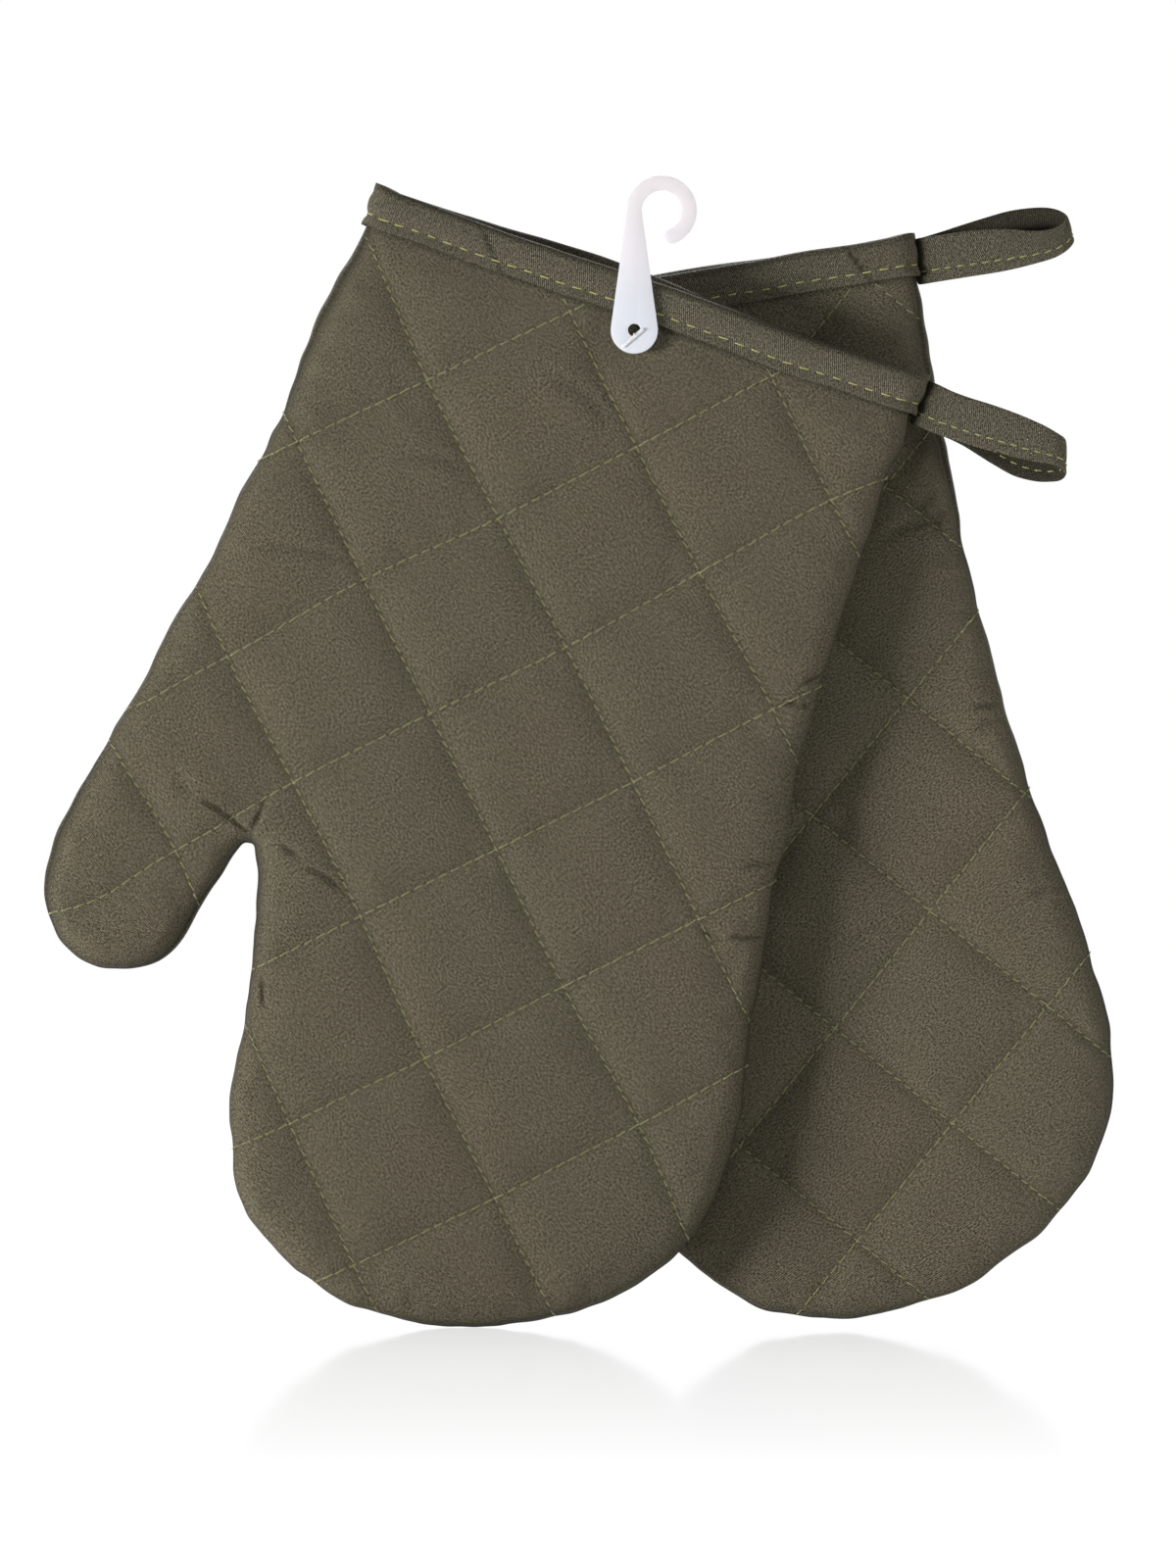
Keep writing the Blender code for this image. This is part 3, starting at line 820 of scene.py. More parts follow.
def outer_surface(mitt, side, creases):
    """The outside of a wall as a fine sheet in the mitt's own plane."""
    grid = mitt.grid(grid_per_cell, edge_rows[-1] + edge_step / 2)
    points, cut_faces = mitt.net(add_crease_rows(mitt, grid, creases), edge_rows)
    faces = quads_from(points, cut_faces)
    distance = distance_to_row(points, mitt.outline)
    base = wall_base(mitt, points, distance)
    share = puff_share(mitt, points, distance)
    sewn = ((mitt.off_lines(points).min(axis=1) < edge_step / 4)
            | (distance < edge_rows[2] + same_point)
            | (points[:, 1] > band_low - edge_step)
            | (np.linalg.norm(points, axis=1) < pin_flat))
    start = np.column_stack([points, base + puff_start * puff_height * share])
    blown = blow_out(start, faces, sewn)
    blown[sewn] = start[sewn]
    rise = np.clip(blown[:, 2] - base, -deepest_dip, None)
    limit = crest_limit * ramp(share, *puff_limit)
    rise = np.where(sewn, 0, limit * np.tanh(rise / np.maximum(limit, same_point)))
    relief = np.column_stack([blown[:, :2], base + rise])
    thing = new_object("cloth_sheet", relief, faces)
    flat = cloth_coordinates(points, distance, nearest_inward(mitt, points))
    set_vectors(thing.data, "rest", np.column_stack([points, distance]))
    set_vectors(thing.data, "cloth", flat)
    subdivide(thing)
    rest = get_vectors(thing.data, "rest")
    rest, distance = rest[:, :2], rest[:, 2]
    places = points_of(thing.data)
    places[:, 2] += fine_relief(mitt, rest, distance, creases)
    move_points(thing.data, roll_edge(mitt, side, rest, distance, places))
    # Painted shade along the seams, folds, sewn edge and under the cuff's hem, kept for the
    # material
    set_values(thing.data, "seam", cloth_shade(mitt, rest, distance, creases))
    return thing, flat, cut_faces


def roll_edge(mitt, side, points, distance, places):
    """Carry the side seam round the rounded edge, and tuck the seam itself in."""
    rim = distance < edge_reach
    inward = nearest_inward(mitt, points[rim])
    angle = np.arcsin(edge_factor(distance[rim]))
    turn = -side * mitt.roll(points[rim])
    rolled = turn + angle * (1 - turn / (math.pi / 2))
    tuck = seam_tuck * bell(distance[rim], seam_tuck)
    shift = np.cos(angle) ** (2 / 3) - np.cos(rolled) ** (2 / 3)
    in_by = edge_reach * shift + tuck * np.cos(rolled)
    out_by = shell_half * (np.sin(rolled) - np.sin(angle)) - tuck * np.sin(rolled)
    places[rim, :2] += in_by[:, None] * inward
    places[rim, 2] += out_by
    return places


points_at_once = 4000


def nearest_inward(mitt, points):
    """The inward direction at the edge point nearest to each place."""
    inward = left_of(mitt.outline)
    chosen = np.zeros((len(points), 2))
    for start in range(0, len(points), points_at_once):
        part = points[start:start + points_at_once]
        gaps = np.linalg.norm(part[:, None] - mitt.outline[None], axis=2)
        chosen[start:start + points_at_once] = inward[gaps.argmin(axis=1)]
    return chosen


straight_down = Vector((0, 0, -1))


class Surface:
    """Finds the outer cloth straight above a place in the mitt's plane."""

    def __init__(self, thing):
        points = points_of(thing.data)
        faces = [tuple(face.vertices) for face in thing.data.polygons]
        self.tree = BVHTree.FromPolygons([tuple(point) for point in points], faces)

    def drop(self, place):
        above = Vector((place[0], place[1], 2 * shell_half + puff_height))
        spot, normal, _, _ = self.tree.ray_cast(above, straight_down)
        return spot, normal


def stand_up(thing, mitt, side):
    """Move a sheet from the mitt's plane into the model's frame, facing out."""
    move_points(thing.data, mitt.to_world(points_of(thing.data), side))
    if side > 0:
        thing.data.flip_normals()
    return thing


# Wadding and lining

soft_per_cell = 10
soft_rows = (0.0010, 0.0026, 0.0050)
feel_reach = 0.0013
lining_sag = 0.0004
lining_sag_wave = 0.05


def soft_net(mitt):
    """A coarser net for the layers that don't show."""
    return mitt.net(mitt.grid(soft_per_cell, soft_rows[-1] + edge_step / 2), soft_rows)


def close_wall(name, points, faces, upper, lower):
    """A solid between two depths over the same net."""
    count = len(points)
    used = {(a, b) for face in faces for a, b in zip(face, face[1:] + face[:1])}
    rim = [(a, b) for a, b in sorted(used) if (b, a) not in used]
    sides = [(b, a, a + count, b + count) for a, b in rim]
    under = [tuple(i + count for i in face[::-1]) for face in faces]
    both = np.vstack([np.column_stack([points, upper]), np.column_stack([points, lower])])
    return new_object(name, both, list(faces) + under + sides)


def depth_under(surface, point):
    """The least depth of the outer cloth close round a place, none past the edge."""
    around = [point] + [point + feel_reach * np.array((math.cos(a), math.sin(a)))
                        for a in np.arange(0, 2 * math.pi, math.pi / 4)]
    spots = [surface.drop(place)[0] for place in around]
    return min(spot.z if spot else 0.0 for spot in spots)


def add_lining_and_wadding(mitt, side_name, side, surface, net):
    """The soft layers behind the outer cloth, down to where both walls meet at the seam."""
    points, faces = net
    distance = distance_to_row(points, mitt.outline)
    sag = (lining_sag * (1 + ripple(points, mitt.seed + 20, lining_sag_wave))
           * edge_factor(distance))
    lining_out = (cavity_depth / 2 + lining_cloth) * edge_factor(distance) - sag
    lining_out = np.maximum(lining_out, lining_cloth + same_point)
    outer = np.array([depth_under(surface, point) for point in points])
    wadding_out = np.maximum(outer - outer_cloth - touch_gap, lining_out + touch_gap)
    shrunk = points + seam_room * bell(distance, seam_room)[:, None] * nearest_inward(mitt, points)
    prefix = f"{mitt.name}_{side_name}"
    wadding = close_wall("wadding", shrunk, faces, wadding_out, lining_out + touch_gap / 3)
    lining = close_wall("lining", shrunk, faces, lining_out, lining_out - lining_cloth)
    for thing, part, slot in ((wadding, "wadding", "wadding"),
                              (lining, "lining", "lining_cloth")):
        set_vectors(thing.data, "cloth", points_of(thing.data))
        stand_up(thing, mitt, side)
        bmesh_outward(thing)
        finish_piece(thing, f"{prefix}_{part}_layer", mitt.name, slot, slot, f"{prefix}_{part}")
    return wadding


# Stitches, set along a path by a node tree

stitch_rings = 7
stitch_sides = 6
stitch_bow = 3.2
stitch_sink = 2.4
stitch_wobble = 0.07
stitch_lengths = (0.84, 1.10)
path_step = 1 / 30
shortest_run = 4


def put(tree, kind, inputs=(), **settings):
    """A new node with its settings and inputs."""
    made = tree.nodes.new(kind)
    for name, value in settings.items():
        setattr(made, name, value)
    fill_in(tree, made, inputs)
    return made


def fill_in(tree, node, inputs):
    """Set a node's inputs, each to a plain value or from another node's socket."""
    for name, value in dict(inputs).items():
        socket = node.inputs[name]
        if isinstance(value, bpy.types.NodeSocket):
            tree.links.new(value, socket)
        elif socket.type == "RGBA":
            socket.default_value = (*value, 1)
        else:
            socket.default_value = value


def maths(tree, operation, *values):
    return put(tree, "ShaderNodeMath", dict(enumerate(values)), operation=operation).outputs[0]


def stitch_mesh():
    """One stitch of unit length: a bowed thread whose ends dive into the cloth."""
    points = []
    for place in np.linspace(-0.5, 0.5, stitch_rings):
        lift = stitch_bow * (1 - (2 * place) ** 4) - stitch_sink
        for angle in 2 * math.pi * np.arange(stitch_sides) / stitch_sides:
            points.append((place, math.cos(angle), math.sin(angle) + lift))
    thing = new_object("stitch_form", points, tube_faces(stitch_rings, stitch_sides))
    bmesh_outward(thing)
    thing.data.shade_smooth()
    set_vectors(thing.data, "thread", points_of(thing.data))
    return thing


def stitch_tree():
    """Node tree: a thread stitch at every pitch along a path, lying flat on the cloth.

    The path's points keep which way the cloth faces, the pitch, and each stitch's length and
    slant.
    """
    tree = bpy.data.node_groups.new("stitches along a path", "GeometryNodeTree")
    for title, kind in (("Geometry", "Geometry"), ("Thread Radius", "Float"),
                        ("Stitch", "Object"), ("Seed", "Int"), ("Material", "Material")):
        tree.interface.new_socket(title, in_out="INPUT", socket_type="NodeSocket" + kind)
    tree.interface.new_socket("Geometry", in_out="OUTPUT", socket_type="NodeSocketGeometry")
    given = tree.nodes.new("NodeGroupInput").outputs

    def kept(name, kind="FLOAT"):
        node = put(tree, "GeometryNodeInputNamedAttribute", {"Name": name}, data_type=kind)
        return node.outputs["Attribute"]

    def uneven(low, high):
        return put(tree, "FunctionNodeRandomValue",
                   {"Min": low, "Max": high, "Seed": given["Seed"]},
                   data_type="FLOAT").outputs[1]

    curve = put(tree, "GeometryNodeMeshToCurve", {"Mesh": given["Geometry"]}).outputs["Curve"]
    spaced = put(tree, "GeometryNodeResampleCurve", {"Curve": curve, "Length": kept("pitch")},
                 mode="LENGTH").outputs["Curve"]
    tangent = put(tree, "GeometryNodeInputTangent").outputs["Tangent"]
    along = put(tree, "FunctionNodeAlignRotationToVector", {"Vector": tangent}, axis="X")
    flat = put(tree, "FunctionNodeAlignRotationToVector",
               {"Rotation": along.outputs["Rotation"], "Vector": kept("facing", "FLOAT_VECTOR")},
               axis="Z", pivot_axis="X")
    angle = maths(tree, "ADD", kept("slant"), uneven(-stitch_wobble, stitch_wobble))
    slant = put(tree, "FunctionNodeAxisAngleToRotation", {"Axis": (0, 0, 1), "Angle": angle})
    turned = put(tree, "FunctionNodeRotateRotation",
                 {"Rotation": flat.outputs["Rotation"], "Rotate By": slant.outputs["Rotation"]},
                 rotation_space="LOCAL")
    form = put(tree, "GeometryNodeObjectInfo", {"Object": given["Stitch"]},
               transform_space="ORIGINAL")
    long = maths(tree, "MULTIPLY", kept("stitch"), uneven(*stitch_lengths))
    size = put(tree, "ShaderNodeCombineXYZ",
               {"X": long, "Y": given["Thread Radius"], "Z": given["Thread Radius"]})
    placed = put(tree, "GeometryNodeInstanceOnPoints",
                 {"Points": spaced, "Instance": form.outputs["Geometry"],
                  "Rotation": turned.outputs["Rotation"], "Scale": size.outputs["Vector"]})
    real = put(tree, "GeometryNodeRealizeInstances", {"Geometry": placed.outputs["Instances"]})
    coloured = put(tree, "GeometryNodeSetMaterial",
                   {"Geometry": real.outputs["Geometry"], "Material": given["Material"]})
    put(tree, "NodeGroupOutput", {"Geometry": coloured.outputs["Geometry"]})
    return tree


def sew(name, paths, seed, thread="thread", radius=thread_radius):
    """Stitches along paths: each has places, the ways that the cloth faces and a kind."""
    counts = [len(places) for places, _, _ in paths]
    kinds = np.repeat([kind for _, _, kind in paths], counts, axis=0)
    starts = set(np.cumsum(counts))
    edges = [(i, i + 1) for i in range(sum(counts) - 1) if i + 1 not in starts]
    thing = new_object(name, np.vstack([places for places, _, _ in paths]), [], edges)
    set_vectors(thing.data, "facing", np.vstack([ways for _, ways, _ in paths]))
    set_values(thing.data, "pitch", kinds[:, 0])
    set_values(thing.data, "stitch", kinds[:, 1])
    set_values(thing.data, "slant", np.radians(kinds[:, 2]))
    sewing = thing.modifiers.new("sewing", "NODES")
    sewing.node_group = stitches
    given = {"Thread Radius": radius, "Stitch": stitch_form, "Seed": seed,
             "Material": materials[thread]}
    for item in stitches.interface.items_tree:
        if item.in_out == "INPUT" and item.name in given:
            sewing[item.identifier] = given[item.name]
    return bake_modifiers(thing)


def quilting_paths(mitt, surface, side):
    """Where the quilting thread runs on a wall, from edge to edge and up to the cuff."""
    reach = math.ceil(mitt_length / quilt_cell) + 3
    ticks = np.arange(-reach, reach + path_step / 2, path_step)
    paths = []
    for axis, kind in enumerate((rising_stitch, falling_stitch)):
        for line in range(-reach, reach + 1):
            squares = np.full((len(ticks), 2), float(line))
            squares[:, axis] = ticks
            places = mitt.plane_of(squares)
            good = inside_loop(places, mitt.outline) & (places[:, 1] < band_low - touch_gap)
            good[good] &= distance_to_row(places[good], mitt.outline) > thread_edge
            run = []
            for place, kept in zip([*places, None], [*good, False]):
                spot, normal = surface.drop(place) if kept else (None, None)
                if spot:
                    run.append((tuple(spot), tuple(normal)))
                    continue
                if len(run) > shortest_run:
                    spots, ways = np.array(run).transpose(1, 0, 2)
                    paths.append((mitt.to_world(spots, side), mitt.way_to_world(ways, side),
                                  kind))
                run = []
    return paths


# Binding of the cuff

binding_stations = 320
binding_squareness = 2.7
oval_steps = 1441
oval_corner = 40
ear_height = 0.0007
ear_reach = 0.0035
top_clear = 0.0002
fold_start = 0.790
fold_steps = 11
front_join = (-0.040, -0.050)
rear_join = (0.067, 0.061)
# Where the back of the cuff stands above its front: place, how far and reach
front_back_rise = (-0.017, 0.0025, 0.031)
rear_back_rise = (0.020, 0.0004, 0.020)
# Waves of the tape: height, random draw and wavelength
lift_waves = ((0.00038, 30, 0.060), (0.00016, 31, 0.017))
low_wave = (0.00024, 32, 0.024)
swell_wave = (0.6, 33, 0.022)
pucker_wave = (0.00016, 35, 0.0085)
around_depth = 3
hem_height = 0.15
hem_spread = 0.16
join_width = 0.0007
join_sink = 0.00014
# Painted shade in the groove along the join of the tape
join_shade = 0.8
rib_shear = 0.5
# Painted shade on the tape's fold over the top and on its inside face
fold_shade = 0.35
inside_shade = 0.3
# How much flatter the tape lies close to the pin, where the hook passes over it
pressed_share = 0.45
pressed_reach = 0.045


def oval_ring(half_straight, end_reach, half_depth, count):
    """A flat oval with full ends, and the ways that it faces."""
    angle = np.linspace(0, 2 * math.pi, oval_steps)
    power = 2 / binding_squareness
    across = np.sign(np.cos(angle)) * np.abs(np.cos(angle)) ** power
    depth = np.sign(np.sin(angle)) * np.abs(np.sin(angle)) ** power
    rough = np.stack([half_straight * np.tanh(across * oval_corner) + end_reach * across,
                      half_depth * depth], 1)
    ring = evenly(rough, lengths_along(rough)[-1] / count)[:-1]
    step = np.roll(ring, -1, axis=0) - np.roll(ring, 1, axis=0)
    step /= np.linalg.norm(step, axis=1)[:, None]
    return ring, np.stack([step[:, 1], -step[:, 0]], 1)


def binding_profile():
    """Rows of the tape's outer skin: how far round the fold, outward bulge and height share."""
    outside = [(0, bulge, height) for bulge, height in (
        (0.00030, 0.000), (0.00038, 0.030), (0.00030, 0.110), (-0.00006, 0.200),
        (-0.00034, 0.266), (-0.00010, 0.320), (0.00028, 0.400), (0.00048, 0.500),
        (0.00050, 0.600), (0.00036, 0.700), (0.00010, fold_start))]
    fold = [((1 - math.cos(a)) / 2, 0.0, fold_start + (1 - fold_start) * math.sin(a))
            for a in np.linspace(0, math.pi, fold_steps)[1:-1]]
    inside = [(1, -0.0001, height) for height in (fold_start, 0.600, 0.400, 0.260, 0.120, 0.0)]
    return outside + fold + inside


def add_binding(mitt, join, back_rise):
    """Folded tape over the raw edge of the cuff, with its hem stitches."""
    straight = panel_half_width - edge_round
    mouth_half = cavity_depth / 2 - touch_gap
    outer, facing = oval_ring(straight, edge_round + touch_gap + cad_tape,
                              shell_half + touch_gap + cad_tape, binding_stations)
    inner, _ = oval_ring(straight, mouth_round - cad_tape, mouth_half - cad_tape,
                         binding_stations)
    around = np.stack([outer[:, 0], outer[:, 1] * around_depth], 1)

    def wave(height, draw, wavelength):
        return height * ripple(around, mitt.seed + draw, wavelength)

    lift = sum(wave(*each) for each in lift_waves)
    low = binding_low + lift + wave(*low_wave)
    ear = ear_height * bell(np.abs(outer[:, 0]) - panel_half_width, ear_reach)
    place, rise, reach = back_rise
    high = cuff_edge_above_pin - top_clear + lift + ear
    high += rise * bell(outer[:, 0] - place, reach) * ramp(outer[:, 1], 0.0, shell_half)
    swell = 1 + wave(*swell_wave)
    swell *= 1 - pressed_share * bell(outer[:, 0], pressed_reach)
    pucker = wave(*pucker_wave)
    rows = []
    shade = []
    for round_share, bulge, height in binding_profile():
        late = max(0, 2 * round_share - 1)
        flat = np.stack([outer[:, 0] * (1 - late) + inner[:, 0] * late,
                         outer[:, 1] * (1 - round_share) + inner[:, 1] * round_share], 1)
        if round_share == 0:
            hem = bell(np.array(height - hem_height), hem_spread)
            lean = join[0] + (join[1] - join[0]) * height
            seam = bell(outer[:, 0] - lean, join_width) * (outer[:, 1] < 0)
            out_by = bulge * swell - touch_gap + hem * pucker - join_sink * seam
            # Painted shade along the join, and a painted shadow under the hem's lower edge
            shade.append(np.maximum(join_shade * seam, 1.0 if height == 0 else 0.0))
            flat = flat + out_by[:, None] * facing
        else:
            # Painted shade on the fold and the inside face of the tape
            shade.append(np.full(binding_stations,
                                 fold_shade if round_share < 1 else inside_shade))
        rows.append(np.column_stack([flat, low + height * (high - low)]))
    count = binding_stations
    points = np.vstack([row[:, [0, 2, 1]] for row in rows])
    around_lengths = lengths_along(np.vstack([outer, outer[:1]]))
    along = np.concatenate([around_lengths[:-1]] * len(rows))
    down_lengths = lengths_along(np.array([row[count // 4] for row in rows]))
    down = np.repeat(down_lengths, count)
    past_join = points[:, 0] > join[0] + (join[1] - join[0]) * down / binding_width
    thing = new_object("binding", points, band_faces(len(rows), count))
    sheared = along + rib_shear * down * np.where(past_join == (join[0] < 0), 0, 1)
    set_vectors(thing.data, "cloth", np.column_stack([sheared, down]))
    set_values(thing.data, "seam", np.concatenate(shade))
    move_points(thing.data, mitt.to_world(points, 1))
    subdivide(thing)
    hem_share = hem_above_edge / binding_width
    stitched = [k for k, row in enumerate(binding_profile()) if row[0] == 0 and row[2] < hem_share]
    line = rows[stitched[-1]]
    thicken(thing, tape_thickness)
    finish_piece(thing, f"{mitt.name}_binding_tape", mitt.name, "binding_tape", "binding_tape",
                 f"{mitt.name}_cuff_binding")
    closed = np.vstack([line, line[:1]])
    ways = np.vstack([facing, facing[:1]])
    places = mitt.to_world(closed[:, [0, 2, 1]], 1)
    ways = mitt.way_to_world(np.column_stack([ways[:, 0], np.zeros(len(ways)), ways[:, 1]]), 1)
    thread = sew(f"{mitt.name}_hem", [(places, ways, hem_stitch)], mitt.seed + 34, "hem_thread",
                 hem_thread_radius)
    finish_piece(thread, f"{mitt.name}_hem_stitches", mitt.name, "hem_thread", "binding_tape")


# Hanging loops

# Edges of each loop's tape from its front root round the bend to its back root, in the mitt's
# plane: across, depth towards the back, and up. The lower edge comes first, then the upper one.
front_loop_edges = (
    ((0.0795, -0.0008, 0.0019), (0.0812, -0.0018, 0.0018), (0.0838, -0.0044, 0.0016),
     (0.0880, -0.0052, 0.0013), (0.0930, -0.0050, 0.0014), (0.0989, -0.0047, 0.0015),
     (0.1045, -0.0045, 0.0019), (0.1101, -0.0043, 0.0023), (0.1156, -0.0040, 0.0030),
     (0.1206, -0.0031, 0.0038), (0.1234, -0.0018, 0.0036), (0.1249, 0.0000, 0.0023),
     (0.1242, 0.0020, 0.0005), (0.1216, 0.0032, -0.0008), (0.1177, 0.0037, -0.0020),
     (0.1118, 0.0038, -0.0025), (0.1057, 0.0034, -0.0015), (0.1003, 0.0029, -0.0003),
     (0.0960, 0.0024, 0.0007), (0.0912, 0.0019, 0.0013), (0.0875, 0.0015, 0.0014),
     (0.0828, 0.0010, 0.0016), (0.0795, 0.0008, 0.0017)),
    ((0.0795, -0.0008, 0.0144), (0.0814, -0.0018, 0.0146), (0.0838, -0.0042, 0.0144),
     (0.0880, -0.0050, 0.0139), (0.0930, -0.0049, 0.0138), (0.0989, -0.0046, 0.0140),
     (0.1045, -0.0043, 0.0140), (0.1095, -0.0040, 0.0138), (0.1150, -0.0035, 0.0133),
     (0.1192, -0.0026, 0.0125), (0.1210, -0.0012, 0.0120), (0.1216, 0.0004, 0.0114),
     (0.1212, 0.0018, 0.0105), (0.1196, 0.0027, 0.0099), (0.1165, 0.0034, 0.0095),
     (0.1118, 0.0036, 0.0095), (0.1057, 0.0033, 0.0104), (0.1003, 0.0029, 0.0115),
     (0.0960, 0.0024, 0.0124), (0.0912, 0.0019, 0.0130), (0.0875, 0.0014, 0.0134),
     (0.0828, 0.0010, 0.0138), (0.0795, 0.0008, 0.0140)),
)
rear_loop_edges = (
    ((0.0794, -0.0008, 0.0016), (0.0812, -0.0018, 0.0015), (0.0838, -0.0044, 0.0015),
     (0.0880, -0.0052, 0.0015), (0.0940, -0.0050, 0.0015), (0.1021, -0.0047, 0.0015),
     (0.1080, -0.0044, 0.0018), (0.1130, -0.0040, 0.0023), (0.1180, -0.0032, 0.0030),
     (0.1216, -0.0020, 0.0044), (0.1234, -0.0004, 0.0059), (0.1237, 0.0012, 0.0070),
     (0.1226, 0.0026, 0.0074), (0.1195, 0.0035, 0.0070), (0.1145, 0.0039, 0.0062),
     (0.1080, 0.0038, 0.0056), (0.1010, 0.0033, 0.0049), (0.0940, 0.0027, 0.0039),
     (0.0880, 0.0020, 0.0030), (0.0828, 0.0013, 0.0023), (0.0794, 0.0008, 0.0019)),
    ((0.0794, -0.0008, 0.0141), (0.0814, -0.0018, 0.0143), (0.0838, -0.0042, 0.0143),
     (0.0880, -0.0050, 0.0142), (0.0940, -0.0048, 0.0141), (0.1010, -0.0044, 0.0136),
     (0.1075, -0.0038, 0.0127), (0.1130, -0.0031, 0.0114), (0.1172, -0.0024, 0.0110),
     (0.1204, -0.0015, 0.0116), (0.1226, -0.0003, 0.0128), (0.1232, 0.0010, 0.0142),
     (0.1216, 0.0024, 0.0158), (0.1185, 0.0033, 0.0171), (0.1138, 0.0038, 0.0178),
     (0.1076, 0.0037, 0.0179), (0.1009, 0.0032, 0.0171), (0.0935, 0.0026, 0.0160),
     (0.0880, 0.0020, 0.0151), (0.0828, 0.0013, 0.0144), (0.0794, 0.0008, 0.0141)),
)


loop_step = 0.0014
loop_waver = 0.00025
loop_waver_wave = 0.021
loop_waver_middle = 0.4
loop_bend = (-0.0012, 0.0070)
# Painted shade on the inside of the loop, and how far it reaches from the roots
loop_inside_shade = 0.9
loop_root_reach = 0.0062


def tape_section():
    """Half of the way round the tape: outward share of its half thickness, and width share."""
    return ((0.20, 0.000), (0.75, 0.010), (1.00, 0.060), (0.96, 0.160), (0.45, loop_hem_share),
            (0.95, 0.370), (1.12, 0.550), (1.05, 0.780), (0.85, 0.950), (0.25, 1.000))


def add_loop(mitt, edges):
    """The folded tape loop with its line of stitches."""
    name = mitt.name.replace("mitt", "loop")
    both = smooth_curve(np.hstack([np.array(edges[0]), np.array(edges[1])]), loop_step)
    low, high = both[:, :3], both[:, 3:]
    middle = (low + high) / 2
    along = lengths_along(middle)
    ruling = high - low
    out = np.cross(runs(middle), ruling)
    out /= np.linalg.norm(out, axis=1)[:, None]
    waver = loop_waver * ripple(np.stack([along, along * 0], 1), mitt.seed + 40,
                                loop_waver_wave)
    half = loop_tape / 2
    section = list(tape_section()) + [(-share, height) for share, height in tape_section()[::-1]]
    rings = []
    for share, height in section:
        offset = share * half + waver * (height - loop_waver_middle)
        rings.append(low + height * ruling + offset[:, None] * out)
    sides, count = len(section), len(both)
    points = np.vstack(rings)[:, [0, 2, 1]]
    faces = [(s * count + k, s * count + k + 1, ((s + 1) % sides) * count + k + 1,
              ((s + 1) % sides) * count + k) for s in range(sides) for k in range(count - 1)]
    for k in (0, count - 1):
        faces.append(tuple(s * count + k for s in range(sides)))
    thing = new_object("loop", points, faces)
    heights = np.repeat([height * loop_width for _, height in section], count)
    set_vectors(thing.data, "cloth", np.column_stack([np.tile(along, sides), heights]))
    # Painted shade on the loop's inner face and near its roots, where shade falls
    inner_shade = np.repeat([loop_inside_shade * (share < 0) for share, _ in section], count)
    root_shade = bell(np.minimum(along, along[-1] - along), loop_root_reach)
    set_values(thing.data, "seam", np.maximum(inner_shade, np.tile(root_shade, sides)))
    move_points(thing.data, mitt.to_world(points, 1))
    bmesh_outward(thing)
    subdivide(thing)
    sides_of_tape = ((4, 1), (len(section) - 5, -1))
    hem = [(mitt.to_world(rings[k][:, [0, 2, 1]], 1),
            mitt.way_to_world(way * out[:, [0, 2, 1]], 1), loop_stitch)
           for k, way in sides_of_tape]
    thread = sew(f"{name}_hem", hem, mitt.seed + 41, "hem_thread")
    fold = np.array(joints[name + "_fold"]["pos_m"])
    start, end = (fold + mitt.way_to_world(np.array([[across, 0, 0]]), 1)[0]
                  for across in loop_bend)
    for piece, title, material in ((thing, f"{mitt.name}_loop_tape", "binding_tape"),
                                   (thread, f"{mitt.name}_loop_stitches", "hem_thread")):
        dress(piece, title, material)
        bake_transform(piece)
    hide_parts(f"{mitt.name}_hanging_loop")


# Display hook and tag pin

def arc_points(centre, radius, start, end, count):
    angle = np.linspace(start, end, count)
    return np.stack([centre[0] + radius * np.cos(angle), centre[1] + radius * np.sin(angle)], 1)


def tangent_angle(corner, radius, way):
    """Angle of the point where a line from the corner touches a circle at the origin."""
    lean = math.acos(radius / np.linalg.norm(corner))
    return math.atan2(corner[1], corner[0]) + way * lean


def hook_outline():
    """The hook's edge, measured from its hole."""
    eye = np.array((eye_radius + hook_stroke / 2, eye_above_hole))
    neck_left = eye - (eye_radius + hook_stroke, 0)
    neck_right = eye - (eye_radius, 0)
    plate = arc_points((0, 0), plate_radius, tangent_angle(neck_left, plate_radius, 1),
                       2 * math.pi + tangent_angle(neck_right, plate_radius, -1), 48)
    inner = arc_points(eye, eye_radius, math.pi, eye_end_angle, 56)
    tip = eye + (eye_radius + hook_stroke / 2) * np.array((math.cos(eye_end_angle),
                                                           math.sin(eye_end_angle)))
    end = arc_points(tip, hook_stroke / 2, eye_end_angle + math.pi, eye_end_angle + 2 * math.pi,
                     14)
    outer = arc_points(eye, eye_radius + hook_stroke, eye_end_angle, math.pi, 64)
    return np.vstack([plate, inner[:-1], end, outer[1:]])


in_hole = 0.98


